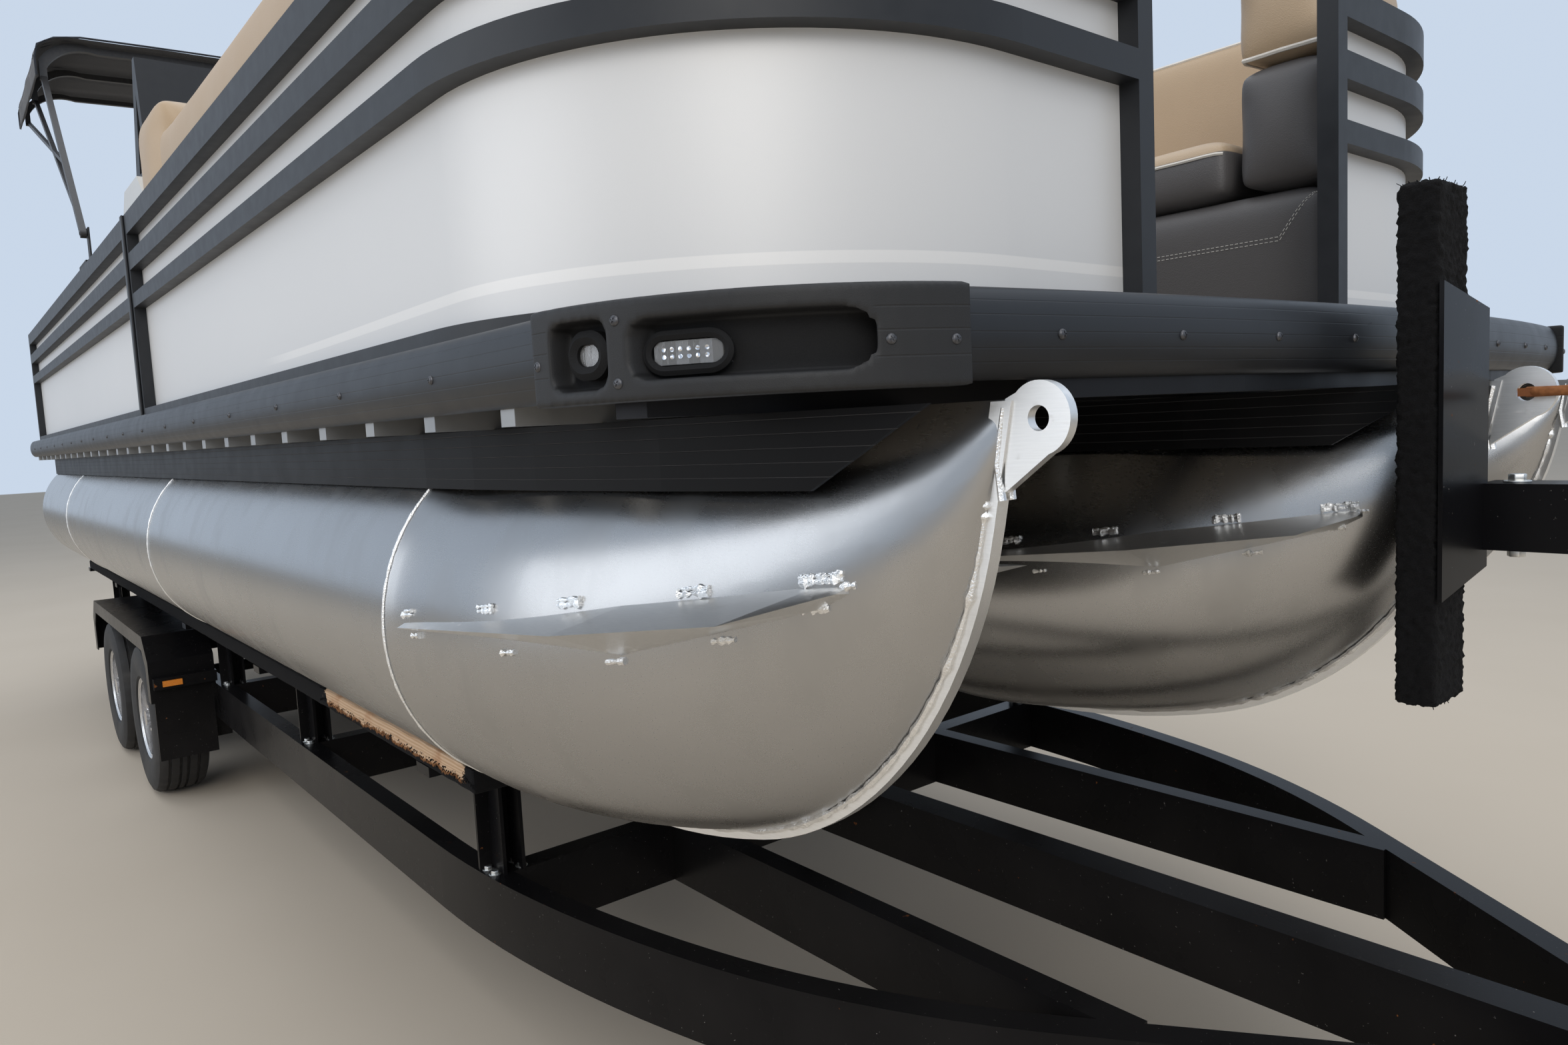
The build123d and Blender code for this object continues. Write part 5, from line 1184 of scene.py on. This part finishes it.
finished(meshed("bunk_tufts", verts, faces), carpet, smooth=0)


# The bow stop is a plank wrapped in the same pile carpet, thick with tufts.
# Its carpet is cut at the top and the bottom, where threads fray out.
stop_low, stop_high = [Vector(c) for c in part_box("bow_stop")]
span = stop_high - stop_low
wrapped = block(span - Vector((0.003, 0.003, 0.003)), Matrix.Translation((stop_low + stop_high) / 2))
stop = remeshed(bevelled(wrapped, 0.009, 3), 0.0042)
for v in stop.data.vertices:
    curl = noise.noise(v.co * 110) * 0.6 + noise.noise(v.co * 210) * 0.6
    v.co += v.normal * curl * 0.0052
stop.data.update()
finished(stop, carpet, smooth=180)
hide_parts("bow_stop")
frays = []
for k in range(46):
    share, other, third = (chance(k, column) for column in (4, 5, 6))
    upper = k % 3 != 0
    start = Vector((
        stop_low.x + 0.006 + (span.x - 0.012) * share, stop_low.y + 0.006 + (span.y - 0.012) * other,
        stop_high.z - 0.007 if upper else stop_low.z + 0.007,
    ))
    way = Vector((share - 0.5, third - 0.5, 0.5 if upper else -0.5)) * 0.016
    fray = [start, start + way * 0.5 + Vector((0.002, -0.002, 0)), start + way]
    frays.append(bead(fray, 0.0007, 0.2, sides=4))
finished(joined("bow_stop_frays", frays), carpet)

# Zinc hex bolts, spotted with rust, clamp the bow stop's arm and the winch stand.
# Two stand above and below the arm, two at its sides and three on the stand's foot.
stand_bolt = bolt(0.0125, 0.011)
stand_places = [
    ((bow + x, y, z), way) for x, y, z, way in (
        (0.137, 0, 1.323, (0, 0, 1)), (0.137, 0, 1.223, (0, 0, -1)),
        (0.33, 0.038, 1.273, (0, 1, 0)), (0.33, -0.038, 1.273, (0, -1, 0)),
        (0.60, 0.03, 0.522, (0, 0, 1)), (0.76, 0.02, 0.522, (0, 0, 1)), (0.76, -0.02, 0.522, (0, 0, 1)),
    )
]
finished(placed(stand_bolt, stand_places, "stand_bolts"), zinc)

# The winch strap is polyester webbing, pulled taut between the winch's drum and the centre bow eye.
# Its forged hook is orange-brown with rust.
webbing = Finish("winch_webbing", IOR=1.45)
strap_rib = webbing.waves("Y", 120.0)
soil = webbing.speckle(16, 4)
cloth_tone = webbing.blend(soil * 0.6 + strap_rib * 0.2, (0.05, 0.05, 0.055), (0.14, 0.13, 0.12))
hook_share = webbing.ramp(webbing.axis("X"), bow + 0.243, bow + 0.241)
rust = webbing.blend(webbing.speckle(90, 5), (0.30, 0.11, 0.035), (0.13, 0.045, 0.02))
webbing.put(Base_Color=webbing.blend(hook_share, cloth_tone, rust), Roughness=0.75 + soil * 0.1)
webbing.bump(strap_rib * 0.4 + soil * 0.6, 0.0014, 0.8)
dress(webbing, "winch_strap")
hook_line = [
    (bow + x, y, 1.456) for x, y in (
        (0.148, 0.012), (0.150, 0.002), (0.153, -0.012), (0.166, -0.021), (0.185, -0.020),
        (0.205, -0.019), (0.226, -0.018),
    )
]
forged = mottled(
    "forged_rust", 120, 5, (0.42, 0.17, 0.06), (0.14, 0.05, 0.02), (0.85, 0.0), (0.0018, 0.9), IOR=1.4)
finished(bead(hook_line, 0.0078, 0.12, sides=16), forged, smooth=60).name = "strap_hook"


# The tyres are radials with four ribs, cross sipes and scuffed sidewalls; the wheels are cast aluminium.
# Each wheel has six hex nuts round its hub and two rolled lips round its rim.
rubber = Finish("tyre_rubber", IOR=1.5)
scuffs = rubber.speckle(30, 5)
road_dust = rubber.ramp(rubber.speckle(6, 4), 0.45, 0.75)
worn = road_dust * 0.5 + scuffs * 0.2
rubber.put(Base_Color=rubber.blend(worn, (0.012, 0.012, 0.013), (0.06, 0.055, 0.05)))
rubber.put(Roughness=0.62 + scuffs * 0.2)
rubber.bump(scuffs, 0.0012, 0.5)
alloy = mottled(
    "cast_alloy", 20, 4, (0.88, 0.88, 0.89), (0.66, 0.65, 0.64), (0.14, 0.2), (0.0006, 0.3), Metallic=1.0)
tyre_profile = [
    (0.179, -0.083), (0.188, -0.094), (0.230, -0.1005), (0.262, -0.102), (0.292, -0.099), (0.312, -0.091),
    (0.3225, -0.077), (0.3262, -0.060), (0.3170, -0.0575), (0.3170, -0.0500), (0.3280, -0.0475),
    (0.3290, -0.0200), (0.3190, -0.0175), (0.3190, -0.0105), (0.3295, -0.0080),
]
tyre_profile += [(r, -y) for r, y in reversed(tyre_profile)]
tyre_steps, count = 96, len(tyre_profile)
axle_height, tyre_middle = 0.33, 1.1005
axle_leads = {"front": -4.6, "rear": -5.49}
wheel_nut = bolt(0.0085, 0.016, 1.2)


def ring_points(centre, radius, offset, points, start=0.0):
    """Points round a wheel's axis at this radius, offset outward from its middle."""
    turns = [radians(start) + 2 * pi * k / points for k in range(points)]
    return [(centre.x + radius * cos(t), centre.y + offset, centre.z + radius * sin(t)) for t in turns]


for place_name, lead in axle_leads.items():
    for hand_name, hand in (("port", 1), ("starboard", -1)):
        where = f"{place_name}_{hand_name}"
        middle = Vector((bow + lead, hand * tyre_middle, axle_height))
        verts, faces = [], []
        for s in range(tyre_steps):
            turn = 2 * pi * s / tyre_steps
            for r, y in tyre_profile:
                reach = r
                if r > 0.318 and s % 3 == 0:
                    reach = r - 0.0055
                if 0.25 < r < 0.30 and s % 2 == 0:
                    reach = r + 0.0006
                verts.append(middle + Vector((reach * cos(turn), y * hand, reach * sin(turn))))
        for s in range(tyre_steps):
            for index in range(count - 1):
                a = s * count + index
                b = ((s + 1) % tyre_steps) * count + index
                faces.append((a, a + 1, b + 1, b))
        tyre = edited(meshed(f"treaded_tyre_{where}", verts, faces), face_out)
        outer = tyre.data.polygons[7]
        if outer.normal.dot(outer.center - middle) < 0:
            tyre.data.flip_normals()
        body = f"wheel_{where}"
        finished(tyre, rubber, body, 30)
        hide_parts(f"tyre_{where}")
        dress(alloy, f"rim_{where}")
        nuts = [(point, (0, hand, 0)) for point in ring_points(middle, 0.052, hand * 0.0575, 6, 30)]
        finished(placed(wheel_nut, nuts, f"wheel_nuts_{where}"), bright, body)
        lips = [
            bead(ring_points(middle, radius, hand * offset, 80), 0.0035, 0.0, True)
            for radius, offset in ((0.176, 0.084), (0.163, 0.080))
        ]
        finished(joined(f"rim_lip_{where}", lips), alloy, body)


# Leaf spring packs of three leaves carry each axle end and show behind the wheels.
# Two U-bolts clamp each pack over the axle tube.
spring_y, u_bolt_radius, u_bolt_foot = 0.952, 0.036, 0.262
leaf_parts = []
for hand in (-1, 1):
    for lead in axle_leads.values():
        for half, z in ((0.31, 0.2735), (0.24, 0.2665), (0.16, 0.2595)):
            place = Matrix.Translation((bow + lead, hand * spring_y, z))
            leaf_parts.append(bevelled(block((2 * half, 0.05, 0.0062), place), 0.0015))
        for x in (-0.04, 0.04):
            turns = [k * pi / 12 for k in range(13)]
            arc = [(u_bolt_radius * cos(t), axle_height + u_bolt_radius * sin(t)) for t in turns]
            arc = [(u_bolt_radius, u_bolt_foot)] + arc + [(-u_bolt_radius, u_bolt_foot)]
            leaf_parts.append(bead([(bow + lead + x, hand * spring_y + y, z) for y, z in arc], 0.0055, 0.0))
finished(joined("spring_packs", leaf_parts), enamel)

# The side lamps are amber and the tail lamps red, in prismed plastic.
# The tail lamps are told from the side ones by their place at the stern.
amber = Finish("amber_lens", IOR=1.49, Coat_Weight=0.6)
prism = amber.cells(260.0)
at_stern = amber.ramp(amber.axis("X"), bow - 6.0, bow - 6.2)
lamp_colour = amber.blend(at_stern, (0.85, 0.28, 0.02), (0.45, 0.01, 0.01))
amber.put(Base_Color=amber.blend(prism * 0.3, lamp_colour, (0.3, 0.06, 0.01)), Roughness=0.16 + prism * 0.1)
amber.bump(prism, 0.0012, 0.5)
dress(amber, "trailer_lights")

# The jack's crank has a black plastic grip with rounded ends.
# It is a plain round moulding over the crank's pin.
knob = bevelled(disc(28, 0.0155, 0.082, Matrix.Translation((bow + 1.292, -0.11, 1.008))), 0.005, 4)
finished(knob, moulded).name = "jack_crank_grip"


# A plain pale floor and a soft studio: a wide lamp overhead, a warm one off the bow, a cool one to starboard.
# The camera and the glossy surfaces see the sky brighter than it lights the boat.
floor_finish = mottled("studio_floor", 0.8, 3, (0.61, 0.54, 0.45), (0.67, 0.60, 0.51), (0.85, 0.0))
bpy.ops.mesh.primitive_plane_add(size=120, location=(0, 0, 0))
floor = bpy.context.object
floor.name = "floor"
floor.data.materials.append(floor_finish.material)
floor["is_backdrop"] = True
for name, place, aim, size, power, tint in (
    ("overhead", (1.0, 0.0, 12.0), (0, 0, 1), (20, 14), 900, (1.0, 0.98, 0.95)),
    ("bow_starboard", (13.0, -9.0, 9.0), (2, 0, 1.2), (9, 9), 900, (1.0, 0.95, 0.88)),
    ("fill", (-4.0, -13.0, 5.0), (-1, 0, 1.2), (12, 7), 420, (0.95, 0.97, 1.0)),
):
    data = bpy.data.lights.new(name, "AREA")
    data.shape = "RECTANGLE"
    data.size, data.size_y = size
    data.energy = power
    data.color = tint
    lamp = bpy.data.objects.new(name, data)
    bpy.context.collection.objects.link(lamp)
    lamp.matrix_world = facing_along(place, Vector(place) - Vector(aim))
world = bpy.data.worlds.new("studio")
world.use_nodes = True
tree = world.node_tree
lighting = tree.nodes["Background"]
visible = tree.nodes.new("ShaderNodeBackground")
lighting.inputs["Color"].default_value = (0.62, 0.68, 0.76, 1)
lighting.inputs["Strength"].default_value = 0.55
visible.inputs["Color"].default_value = (0.62, 0.72, 0.86, 1)
visible.inputs["Strength"].default_value = 0.95
path = tree.nodes.new("ShaderNodeLightPath")
seen = path.outputs["Is Camera Ray"]
for ray in ("Is Glossy Ray", "Is Transmission Ray"):
    either = tree.nodes.new("ShaderNodeMath")
    either.operation = "MAXIMUM"
    tree.links.new(seen, either.inputs[0])
    tree.links.new(path.outputs[ray], either.inputs[1])
    seen = either.outputs[0]
mix = tree.nodes.new("ShaderNodeMixShader")
for socket, part in enumerate((seen, lighting.outputs[0], visible.outputs[0])):
    tree.links.new(part, mix.inputs[socket])
tree.links.new(mix.outputs[0], tree.nodes["World Output"].inputs["Surface"])
bpy.context.scene.world = world
bpy.context.scene.view_settings.view_transform = "Standard"

for pattern in (rail_screw, cap_screw, diode, frame_bolt, stand_bolt, wheel_nut):
    bpy.data.objects.remove(pattern)
low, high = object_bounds()
